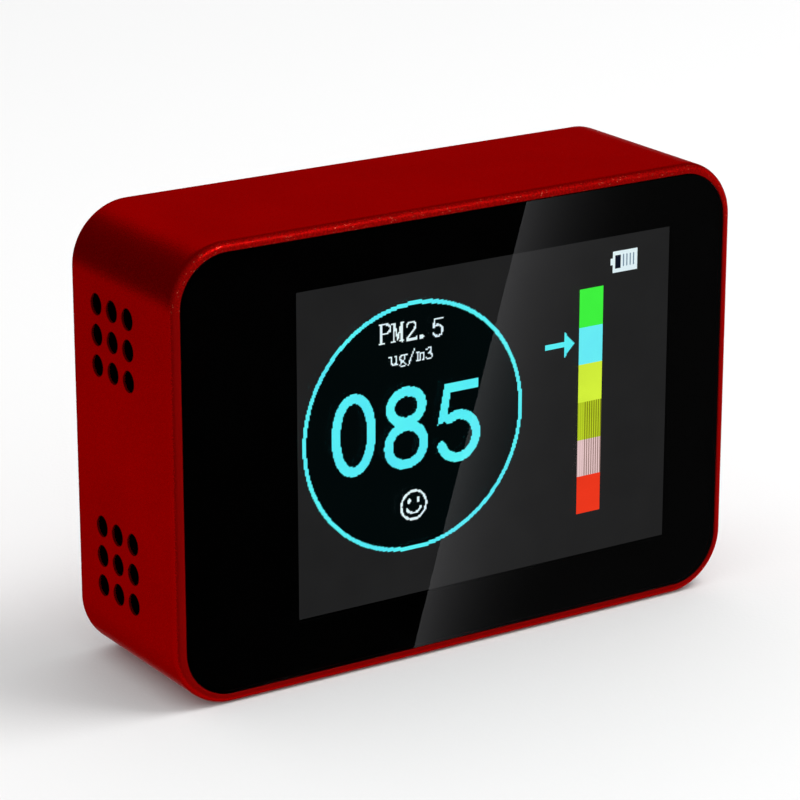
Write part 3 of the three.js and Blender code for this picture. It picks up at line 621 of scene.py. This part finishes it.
def stroke(line, width):
    """Every dot whose centre is within half a width of a line through some points."""
    line = np.array(line, float)
    start, step = line[:-1], np.diff(line, axis=0)
    length = np.maximum((step ** 2).sum(1), 1e-9)
    u, v = dot_u[..., None] - start[:, 0], dot_v[..., None] - start[:, 1]
    share = np.clip((u * step[:, 0] + v * step[:, 1]) / length, 0, 1)
    away = np.hypot(u - share * step[:, 0], v - share * step[:, 1]).min(2)
    return away <= width / 2


def bow(centre, reach, start, end, fullness=2.0, steps=48):
    """Points on part of a rounded oval, from one angle to another in degrees, clockwise from
    the right. A fullness over 2 makes it squarer than an ellipse."""
    angle = np.radians(np.linspace(start, end, steps + 1))
    cos, sin = np.cos(angle), np.sin(angle)
    u = centre[0] + reach[0] * np.sign(cos) * np.abs(cos) ** (2 / fullness)
    v = centre[1] + reach[1] * np.sign(sin) * np.abs(sin) ** (2 / fullness)
    return np.stack([u, v], 1).tolist()


def within(left, top, right, bottom):
    """Every dot inside a rectangle."""
    return (dot_u >= left) & (dot_u < right) & (dot_v >= top) & (dot_v < bottom)


def polygon(corners):
    """Every dot inside a convex outline given clockwise: it lies right of every side."""
    inside = np.ones_like(dot_u, bool)
    for (u_a, v_a), (u_b, v_b) in zip(corners, corners[1:] + corners[:1]):
        inside &= (u_b - u_a) * (dot_v - v_a) - (v_b - v_a) * (dot_u - u_a) > 0
    return inside


DARK = (0.0162, 0.0162, 0.0165, 1)
DISC = (0.0008, 0.0028, 0.0030, 1)
CYAN = (0.105, 0.93, 1.08, 1)
WHITE = (0.80, 0.95, 1.10, 1)

# Each layer lies a little in front of the one that it is drawn on.
LAYER_STEP = 0.03
DISC_DEPTH = IMAGE_DEPTH - LAYER_STEP
MARK_DEPTH = IMAGE_DEPTH - 2 * LAYER_STEP
DETAIL_DEPTH = IMAGE_DEPTH - 3 * LAYER_STEP

# From here to the end of this section, sizes and places are in dots from the top left corner.
lit_layer("display_ground", np.ones_like(dot_u, bool), DARK, IMAGE_DEPTH)

RING_CENTRE, RING_RADIUS, RING_LINE = (97.7, 113.8), 91.0, 3.0
from_ring = np.hypot(dot_u - RING_CENTRE[0], dot_v - RING_CENTRE[1])
lit_layer("display_disc", from_ring < RING_RADIUS, DISC, DISC_DEPTH)

DIGIT_LINE = 7.2
FIVE_CENTRE, FIVE_REACH = (135.2, 127.6), (15.2, 15.9)
zero = stroke(bow((47.1, 111.5), (14.6, 26.8), 0, 360, 2.15), DIGIT_LINE)
eight = (
    stroke(bow((90.8, 98.0), (13.2, 11.2), 0, 360, 2.1), DIGIT_LINE)
    | stroke(bow((90.9, 126.6), (14.9, 14.0), 0, 360, 2.1), DIGIT_LINE)
)
five = (
    within(124.6, 87.0, 152.4, 93.8)
    | polygon([(123.2, 87.0), (130.3, 87.0), (125.9, 109.2), (125.0, 114.8), (117.4, 116.7)])
    | stroke(bow(FIVE_CENTRE, FIVE_REACH, 240, 360), DIGIT_LINE)
    | stroke(bow(FIVE_CENTRE, FIVE_REACH, 0, 160), DIGIT_LINE)
)
ring = np.abs(from_ring - RING_RADIUS) < RING_LINE / 2

ARROW = {"tail": 210.4, "neck": 228.0, "head": 227.4, "tip": 235.8, "level": 75.5, "flare": 1.1}
arrow_shaft = within(ARROW["tail"], 73.0, ARROW["neck"], 77.4)
arrow_head = np.abs(dot_v - ARROW["level"]) < (ARROW["tip"] - dot_u) * ARROW["flare"]
arrow_head &= dot_u >= ARROW["head"]
lit_layer("display_reading", zero | eight | five | ring | arrow_shaft | arrow_head, CYAN, MARK_DEPTH)

PEN = 0.8  # the pen's width as a share of the widths below
SQUEEZE = 0.9  # the letters' height as a share of the heights below
SQUEEZE_SHIFT = 0.8  # how far down the squeezed letters are moved

# Each mark has its left, its top, and its pen strokes: points from its top left corner, and a
# width. The caption names the measured particle size and its unit.
CAPTION = [
    ("P", 67.6, 33.6, [
        ([(2.6, 0.4), (2.6, 15.4)], 2.2), ([(0.6, 0.4), (7.0, 0.4)], 1.3),
        ([(7, 0.4), (9.4, 1.8), (9.9, 4.2), (9.2, 6.6), (7, 8.0), (3, 8.0)], 1.8),
        ([(0.6, 15.4), (5.0, 15.4)], 1.3)]),
    ("M", 78.6, 34.2, [
        ([(1.8, 0.4), (1.8, 15.4)], 1.6), ([(8.6, 0.4), (8.6, 15.4)], 2.2),
        ([(2.2, 0.4), (5.2, 13.4)], 1.9), ([(8.0, 0.4), (5.4, 13.4)], 1.3),
        ([(0.2, 0.4), (2.4, 0.4)], 1.3), ([(8.2, 0.4), (10.2, 0.4)], 1.3),
        ([(0.2, 15.4), (3.4, 15.4)], 1.3), ([(6.9, 15.4), (9.7, 15.4)], 1.3)]),
    ("2", 90.2, 34.8, [
        ([(1.0, 4.0), (1.5, 2.0), (3.6, 0.7), (6.4, 0.7), (8.3, 2.4), (8.3, 5.2),
         (6.2, 8.8), (1.2, 14.4)], 1.8),
        ([(1.5, 15.0), (8.9, 15.0)], 1.7), ([(8.9, 15.0), (8.9, 12.6)], 1.3)]),
    (".", 101.4, 35.4, [
        ([(2.3, 13.6), (2.6, 13.6)], 4.2)]),
    ("5", 112.4, 35.8, [
        ([(2.2, 0.8), (8.8, 0.8)], 1.6), ([(1.9, 0.8), (1.5, 7.8)], 1.5),
        ([(1.5, 7.8), (4.0, 6.0), (6.8, 6.4), (8.7, 8.8), (8.8, 11.6), (7.6, 14.2),
         (5.0, 15.4), (2.4, 14.6), (1.0, 12.4)], 1.8)]),
    ("u", 77.0, 58.2, [
        ([(0.0, 0.4), (1.5, 0.4), (1.5, 5.2), (2.6, 6.8), (4.4, 6.8), (5.6, 5.4)], 1.3),
        ([(4.2, 0.4), (5.6, 0.4), (5.6, 6.9), (6.9, 6.9)], 1.3)]),
    ("g", 84.6, 58.4, [
        (bow((3.1, 2.5), (2.1, 2.0), 0, 360), 1.2), ([(4.9, 0.7), (6.6, 0.3)], 1.2),
        ([(1.8, 4.2), (1.4, 5.8), (5.0, 6.6), (6.0, 8.2), (4.4, 9.6), (1.8, 9.5),
         (1.0, 8.2), (2.0, 6.6)], 1.2)]),
    ("/", 92.0, 58.6, [
        ([(5.8, -3.6), (0.8, 8.6)], 1.3)]),
    ("m", 99.2, 58.8, [
        ([(0.0, 0.4), (1.1, 0.4), (1.1, 6.9)], 1.3), ([(3.5, 1.2), (3.5, 6.9)], 1.3),
        ([(1.1, 1.2), (2.4, 0.3), (3.5, 1.2), (4.8, 0.3), (5.9, 1.2), (5.9, 6.9)], 1.2),
        ([(0.0, 6.9), (2.1, 6.9)], 1.1), ([(5.1, 6.9), (6.9, 6.9)], 1.1)]),
    ("3", 106.8, 59.0, [
        ([(0.9, -1.0), (2.4, -2.4), (4.4, -2.2), (5.2, -0.6), (4.2, 1.2), (2.6, 1.6)], 1.3),
        ([(2.6, 1.6), (4.8, 2.2), (5.7, 4.0), (5.0, 6.0), (3.2, 6.9), (1.4, 6.4),
         (0.7, 5.0)], 1.3)]),
]
caption = np.any([
    stroke(np.array(line) * [1, SQUEEZE] + [left, top + SQUEEZE_SHIFT], width * PEN)
    for _, left, top, strokes in CAPTION for line, width in strokes
], axis=0)

# A plain smiling face says that the air is good.
FACE = {"centre": (97.2, 172.6), "reach": (10.6, 10.6), "smile": (6.2, 6.0), "line": 1.7}
EYE = {"aside": 3.8, "top": -4.4, "bottom": -2.6, "width": 2.2}
face = stroke(bow(FACE["centre"], FACE["reach"], 0, 360), FACE["line"])
face |= stroke(bow(FACE["centre"], FACE["smile"], 20, 160), FACE["line"])
for side in (-1, 1):
    eye = np.array([[side * EYE["aside"], EYE["top"]], [side * EYE["aside"], EYE["bottom"]]])
    face |= stroke(eye + FACE["centre"], EYE["width"])

# The battery mark: a block with its terminal at the left, a spent cell and lines between cells.
BATTERY = {"left": 269.4, "top": 11.8, "right": 291.0, "bottom": 28.0}
TERMINAL = {"left": 267.0, "top": 16.8, "bottom": 21.8}
SPENT_CELL = {"left": 271.4, "top": 15.0, "right": 275.6, "bottom": 24.6}
CELL_LINE = {"first": 277.6, "pitch": 3.2, "count": 4, "width": 1.2, "top": 15.4, "bottom": 24.4}
battery = within(**BATTERY) | within(**TERMINAL, right=BATTERY["left"])
cell_lines = np.zeros_like(battery)
for i in range(CELL_LINE["count"]):
    left = CELL_LINE["first"] + i * CELL_LINE["pitch"]
    cell_lines |= within(left, CELL_LINE["top"], left + CELL_LINE["width"], CELL_LINE["bottom"])
lit_layer("display_captions", caption | face | battery, WHITE, MARK_DEPTH)
lit_layer("display_spent_cell", within(**SPENT_CELL), (0.004, 0.007, 0.018, 1), DETAIL_DEPTH)
lit_layer("display_cell_lines", cell_lines, (0.14, 0.23, 0.32, 1), DETAIL_DEPTH)

# The scale bar runs from clean air at the top to bad air at the bottom.
BAR = {"left": 239.6, "right": 261.2, "top": 36.2, "cell": 28.65}
STRIPED_FROM = 246.0
BAR_COLORS = [
    ("green", (0.052, 0.99, 0.052, 1), None),
    ("cyan", (0.150, 0.93, 1.08, 1), None),
    ("lime", (0.690, 0.92, 0.045, 1), None),
    ("olive", (0.540, 0.70, 0.020, 1), (0.230, 0.26, 0.008, 1)),
    ("pink", (0.880, 0.62, 0.62, 1), (0.340, 0.22, 0.20, 1)),
    ("red", (0.900, 0.040, 0.012, 1), None),
]
for i, (color_name, color, dim) in enumerate(BAR_COLORS):
    top = BAR["top"] + i * BAR["cell"]
    cell = within(BAR["left"], top, BAR["right"], top + BAR["cell"])
    if dim:
        every_other = (np.floor(dot_u) % 2 == 0) & cell
        strong = every_other & (dot_u > STRIPED_FROM)
        faint = every_other & ~strong
        lit_layer("display_bar_" + color_name + "_dim", strong, dim, MARK_DEPTH)
        lit_layer("display_bar_" + color_name + "_faint", faint, shaded(color, 0.82), MARK_DEPTH)
        cell &= ~every_other
    lit_layer("display_bar_" + color_name, cell, color, MARK_DEPTH)

# ---- Rear cover ---------------------------------------------------------------------------
# A flat plate of the same red aluminium fills the back. Four countersunk steel screws with
# cross recesses hold it to the bosses in the frame's corners.
COVER_FRONT, COVER_BACK = 24.25, 25.9
SCREW = {"inset": 5.2, "sunk": 0.05, "head": 2.0, "depth": 1.1, "shank": 0.85, "length": 7.0, "point": 0.6}
RECESS = {"reach": 1.15, "width": 0.5, "deep": 0.7, "lean": 0.11}
SINK_GAP = 0.25
HOLE_GAP = 0.24


def countersink():
    """A cutter for a cone down to a clearance hole, seen from the cover's outer face."""
    wide, narrow = SCREW["head"] + SINK_GAP, SCREW["shank"] + HOLE_GAP
    profile = [(0, -1), (0, 0), (wide - narrow, SCREW["depth"]), (wide - narrow, 4)]
    return carried(circle(wide, 48), profile)


def facing_back(shape, x, z, depth):
    """Sets a shape in the back: its depth runs in from the rear, from a depth of the case."""
    points, faces = shape
    across, into, up = points.T
    return np.stack([x + across, FRONT + depth - into, z + up], 1) * MM, faces


screw_places = [
    (sx * (WIDTH / 2 - SCREW["inset"]), MIDDLE + sz * (HEIGHT / 2 - SCREW["inset"]))
    for sx, sz in [(-1, -1), (1, -1), (1, 1), (-1, 1)]
]
sinks = joined([facing_back(countersink(), x, z, COVER_BACK) for x, z in screw_places])
finished("cover", body_plate(LIP + 0.1, COVER_FRONT, COVER_BACK, 0.12), anodised("anodised_cover"), "case",
         ["rear_cover"], [sinks])

steel = Finish("plated_steel", Metallic=1.0)
turned = steel.noise(0.0004, 3.0)
steel.set(Base_Color=steel.blend(turned, (0.42, 0.42, 0.43, 1), (0.62, 0.62, 0.64, 1)))
steel.set(Roughness=steel.spread(turned, 0.22, 0.40))
steel.bump(steel.noise(0.0001), 0.000004)


def screw_body():
    """A countersunk screw seen from above its head: the flat head, its eased rim, the cone, the
    shank and a blunt point."""
    head, shank, length = SCREW["head"], SCREW["shank"], SCREW["length"]
    rim = [(0.12, 0), (0.04, 0.03), (0, 0.1), (0, 0.16)]
    point = [(head - shank, length - SCREW["point"]), (head - shank / 2, length)]
    return carried(circle(head), [(head / 2, 0), *rim, (head - shank, SCREW["depth"]), *point])


def cross_recess():
    """Two crossed slots whose walls lean in as they go down."""
    long, short = 2 * RECESS["reach"], RECESS["width"]
    profile = [(-0.02, -0.1), (0, 0), (RECESS["lean"], RECESS["deep"])]
    return [carried(rounded_rectangle(*size, 0.06, 3), profile) for size in ((long, short), (short, long))]


for i, (x, z) in enumerate(screw_places):
    top = COVER_BACK - SCREW["sunk"]
    recess = [facing_back(slot, x, z, top) for slot in cross_recess()]
    finished(f"cover_screw_{i + 1}", facing_back(screw_body(), x, z, top), steel, "case",
             [f"rear_screw_{i + 1}"], recess)

# ---- Power button -------------------------------------------------------------------------
# A small key of the same red aluminium fills its slot in the right side. A flange behind the
# wall keeps it in, and it presses the plunger of a switch on the board.
BUTTON_SOFT = 0.35
FLANGE = {"margin": 0.7, "thick": 0.8, "play": 0.15}


def button_profile():
    """From the flat face over its round edge, down the stem, out round the flange and in."""
    margin = FLANGE["margin"]
    stem_end = BUTTON["proud"] + WALL + FLANGE["play"]
    edge = quarter_round(margin + BUTTON_SOFT, BUTTON_SOFT, BUTTON_SOFT, 180)
    return [
        (margin + BUTTON_SOFT + HOLD, 0), *edge[::-1],
        (margin, stem_end), (0, stem_end),
        (0, stem_end + FLANGE["thick"]),
    ]


flange_width, flange_height = (BUTTON[side] + 2 * FLANGE["margin"] for side in ("width", "height"))
button_outline = rounded_rectangle(flange_width, flange_height, flange_width / 2 - SHORT_SIDE, 24)
button_shape = facing_side(carried(button_outline, button_profile()), 1, BUTTON["depth"], BUTTON["z"],
                           BUTTON["proud"])
finished("button", button_shape, anodised("anodised_button", 0.7), "power_button",
         ["power_button_cap"])

# ---- Charging socket ----------------------------------------------------------------------
# The socket is a folded steel shell with a black moulding inside, whose tongue carries five
# gold contacts. It is soldered to the board just behind its slot in the right side.
SHEET = 0.3


def socket_outline(corner=0.25, cut=0.9):
    """The shell's outline in depth and height: two corners of its rear long side are cut away,
    and every corner is rounded by a curve that pulls towards it from both its sides."""
    half_w, half_h = SOCKET["width"] / 2, SOCKET["height"] / 2
    corners = np.array([
        (-half_h, -half_w), (half_h - cut, -half_w), (half_h, -half_w + cut),
        (half_h, half_w - cut), (half_h - cut, half_w), (-half_h, half_w),
    ])
    before = np.roll(corners, 1, 0) - corners
    after = np.roll(corners, -1, 0) - corners
    before /= np.linalg.norm(before, axis=1)[:, None]
    after /= np.linalg.norm(after, axis=1)[:, None]
    share = np.linspace(0, 1, 6)[None, :, None]
    start = corners + corner * before
    to_corner = start[:, None] + share * (corner * -before)[:, None]
    from_corner = corners[:, None] + share * (corner * after)[:, None]
    points = (to_corner + share * (from_corner - to_corner)).reshape(-1, 2)
    along = np.roll(points, -1, 0) - np.roll(points, 1, 0)
    outward = np.stack([along[:, 1], -along[:, 0]], 1)
    return points, outward / np.linalg.norm(outward, axis=1)[:, None]


# The sheet's rounded end at the mouth, then straight walls to the inner end.
shell_profile = [
    (0, 0.12), (0.05, 0.03), (0.14, 0), (SHEET - 0.05, 0.05), (SHEET, 0.15),
    (SHEET, SOCKET["length"]), (0, SOCKET["length"]),
]
shell_shape = facing_side(carried(socket_outline(), shell_profile, closed=True), 1, SOCKET["depth"],
                          SOCKET["z"], -SOCKET["recess"])
finished("socket_shell", shell_shape, steel, "case", ["usb_shell"])

moulding = Finish("black_moulding", Specular_IOR_Level=0.4)
moulding_grain = moulding.noise(0.0003, 3.0)
moulding.set(Base_Color=moulding.blend(moulding_grain, (0.006, 0.006, 0.006, 1), (0.012, 0.012, 0.012, 1)))
moulding.set(Roughness=moulding.spread(moulding_grain, 0.42, 0.6))
moulding.bump(moulding_grain, 0.000006)
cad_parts["usb_tongue"].data.materials.clear()
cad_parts["usb_tongue"].data.materials.append(moulding.material)

gold = Finish("gold_plate", Metallic=1.0, Roughness=0.25)
gold.set(Base_Color=gold.blend(gold.noise(0.0003), (0.75, 0.48, 0.16, 1), (0.9, 0.62, 0.24, 1)))
tongue_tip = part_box("usb_tongue")[1][0] / MM
TONGUE_FACE = 0.15  # how far the tongue's bare face lies in front of the socket's middle
CONTACT = {"count": 5, "width": 0.4, "pitch": 0.65, "thick": 0.12, "length": 2.6, "corner": 0.02}
CONTACT_RECESS = 0.15  # how far behind the tongue's tip the contacts begin
contact_outline = rounded_rectangle(CONTACT["thick"], CONTACT["width"], CONTACT["corner"], 2)
contact_profile = [(CONTACT["corner"], 0), (0, 0.05), (0, CONTACT["length"])]
contact_depth = SOCKET["depth"] - TONGUE_FACE + CONTACT["thick"] / 2
contact_start = tongue_tip - WIDTH / 2 - CONTACT_RECESS
contacts = []
for i in range(CONTACT["count"]):
    z = SOCKET["z"] + (i - (CONTACT["count"] - 1) / 2) * CONTACT["pitch"]
    strip = carried(contact_outline, contact_profile)
    contacts.append(facing_side(strip, 1, contact_depth, z, contact_start))
contact_piece = piece_from("socket_contacts", *joined(contacts), gold)
face_outwards(contact_piece)
smooth(contact_piece)
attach(contact_piece, "case")

# ---- Vent screens -------------------------------------------------------------------------
# Woven wire cloth lies on the inside of the left side, behind the vents, and keeps lint out
# of the sensor. It is blackened steel wire, crossing over and under.
WIRE = {"pitch": 0.42, "radius": 0.075, "steps": 56}
CLOTH_SIZE = 11.4
CLOTH_MIDDLE = WALL + 0.175  # the depth that the wires swing about


def woven(depth, z, size):
    """Wires along two directions whose height swings as a sine, so that they pass over and
    under each other. Each wire is a four-sided tube."""
    half = size / 2
    count = int(size / WIRE["pitch"])
    offsets = (np.arange(count) - (count - 1) / 2) * WIRE["pitch"]
    run = np.linspace(-half, half, WIRE["steps"])
    corner = np.radians([45, 135, 225, 315])
    shapes = []
    for turned_across in (False, True):
        for i, offset in enumerate(offsets):
            sway = WIRE["radius"] * np.cos(np.pi * (run / WIRE["pitch"] + i + turned_across))
            side = offset + WIRE["radius"] * np.cos(corner)[None] + 0 * run[:, None]
            rise = sway[:, None] + WIRE["radius"] * np.sin(corner)[None]
            far = np.broadcast_to(run[:, None], side.shape)
            across, up = (far, side) if turned_across else (side, far)
            points = np.stack([across, rise + CLOTH_MIDDLE, up], -1).reshape(-1, 3)
            index = np.arange(len(run) * 4).reshape(-1, 4)
            here, after = index[:-1], index[1:]
            quads = np.stack([here, np.roll(here, -1, 1), np.roll(after, -1, 1), after], -1)
            ends = [index[0, ::-1].tolist(), index[-1].tolist()]
            shapes.append((points, quads.reshape(-1, 4).tolist() + ends))
    return facing_side(joined(shapes), -1, depth, z)


wire = Finish("black_wire_cloth", Metallic=0.9)
wire_wear = wire.noise(0.0006, 2.0)
wire.set(Base_Color=wire.blend(wire_wear, (0.012, 0.012, 0.013, 1), (0.045, 0.045, 0.047, 1)))
wire.set(Roughness=wire.spread(wire_wear, 0.35, 0.55))
wire.bump(wire.noise(0.00015), 0.000004)
for side, node in ((-1, "outlet_screen"), (1, "inlet_screen")):
    cloth = woven(VENT["depth"], MIDDLE + side * VENT["spread"], CLOTH_SIZE)
    finished(node + "_cloth", cloth, wire, "case", [node])

# ---- Pieces inside the case ---------------------------------------------------------------
# The display module, boards, sensor, battery and fastenings keep their CAD shapes. Each takes
# the finish of what it is made of: moulded plastic, laminate, metal, foam, tape or wire.


def moulded(name, color, rough=(0.4, 0.6), grain=0.00025):
    """Moulded or coated material: slightly uneven in colour and gloss, with a fine grain."""
    plastic = Finish(name, Specular_IOR_Level=0.4)
    texture = plastic.noise(grain, 3.0)
    cloud = plastic.noise(0.004, 2.0)
    plastic.set(Base_Color=plastic.blend(cloud, shaded(color, 0.85), shaded(color, 1.12)))
    plastic.set(Roughness=plastic.spread(texture, *rough))
    plastic.bump(texture, 0.000008)
    return plastic


def metal(name, color, rough=(0.2, 0.4), stretch=(1, 1, 1)):
    """Bare or plated metal with fine tool or roller marks along one direction."""
    bare = Finish(name, Metallic=1.0)
    marks = bare.noise(0.0003, 4.0, stretch)
    bare.set(Base_Color=bare.blend(marks, shaded(color, 0.8), shaded(color, 1.15)))
    bare.set(Roughness=bare.spread(marks, *rough))
    bare.bump(marks, 0.000004)
    return bare


PORE = 0.4 * MM


def foam(name, color):
    """Open foam: dark pores all over a dull surface."""
    cellular = Finish(name, Roughness=0.95, Specular_IOR_Level=0.1)
    pores = cellular.add("ShaderNodeTexVoronoi", inputs={"Vector": cellular.place, "Scale": 1 / PORE})
    cellular.set(Base_Color=cellular.blend(pores, shaded(color, 0.5), shaded(color, 1.6)))
    cellular.bump(pores, 0.0001)
    return cellular


def laminate(name):
    """Green solder mask with copper tracks showing faintly under it."""
    board = Finish(name, Specular_IOR_Level=0.5, Coat_Weight=0.3)
    tracks = board.add(
        "ShaderNodeTexWave", {"bands_direction": "DIAGONAL"},
        {"Vector": board.place, "Scale": 260.0, "Distortion": 6.0, "Detail": 2.0, "Detail Scale": 1.5})
    edge = board.spread(tracks, 0.0, 1.0)
    board.set(Base_Color=board.blend(edge, (0.003, 0.050, 0.018, 1), (0.008, 0.11, 0.035, 1)))
    board.set(Roughness=board.spread(board.noise(0.001), 0.28, 0.42))
    board.bump(edge, 0.00002)
    return board


INSIDE = [
    (moulded("cell_glass", (0.010, 0.011, 0.012, 1), (0.12, 0.2)), ["display_cell"]),
    (moulded("white_moulding", (0.78, 0.78, 0.74, 1)), ["display_backlight"]),
    (moulded("black_tape", (0.012, 0.012, 0.012, 1), (0.75, 0.9)),
     ["glass_tape", "display_tape", "battery_tape"]),
    (moulded("amber_film", (0.42, 0.13, 0.012, 1), (0.3, 0.45)), ["display_tail"]),
    (moulded("yellow_tape", (0.66, 0.36, 0.014, 1), (0.3, 0.5)), ["battery_protection_board"]),
    (laminate("solder_mask"), ["main_board", "sensor_board"]),
    (moulded("chip_epoxy", (0.010, 0.010, 0.011, 1), (0.45, 0.65), 0.00008),
     ["controller_chip", "charger_chip", "power_inductor", "switch_body", "photodiode"]),
    (moulded("natural_nylon", (0.78, 0.74, 0.62, 1)),
     ["tail_socket", "battery_socket", "sensor_socket", "switch_plunger", "battery_plug", "sensor_plug"]),
    (moulded("fan_plastic", (0.008, 0.008, 0.008, 1)), ["fan_motor", "fan_impeller"]),
    (moulded("sensor_plastic", (0.028, 0.068, 0.17, 1)), ["sensor_base"]),
    (metal("rolled_steel", (0.55, 0.56, 0.58, 1), stretch=(0.1, 1, 1)),
     ["sensor_lid", "clock_crystal", *(f"board_screw_{i + 1}" for i in range(4))]),
    (metal("pouch_foil", (0.48, 0.50, 0.52, 1), (0.25, 0.5)), ["battery_cell"]),
    (metal("turned_brass", (0.55, 0.36, 0.10, 1)), ["laser_module"]),
    (moulded("red_silicone", (0.39, 0.007, 0.007, 1)), ["battery_lead_red"]),
    (moulded("black_silicone", (0.006, 0.006, 0.006, 1)), ["battery_lead_black"]),
    (moulded("grey_ribbon", (0.10, 0.107, 0.117, 1)), ["sensor_cable"]),
    (foam("black_foam", (0.017, 0.017, 0.017, 1)), ["inlet_gasket", "outlet_gasket", "sensor_pad"]),
]
for made_of, node_names in INSIDE:
    for node_name in node_names:
        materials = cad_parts[node_name].data.materials
        materials.clear()
        materials.append(made_of.material)
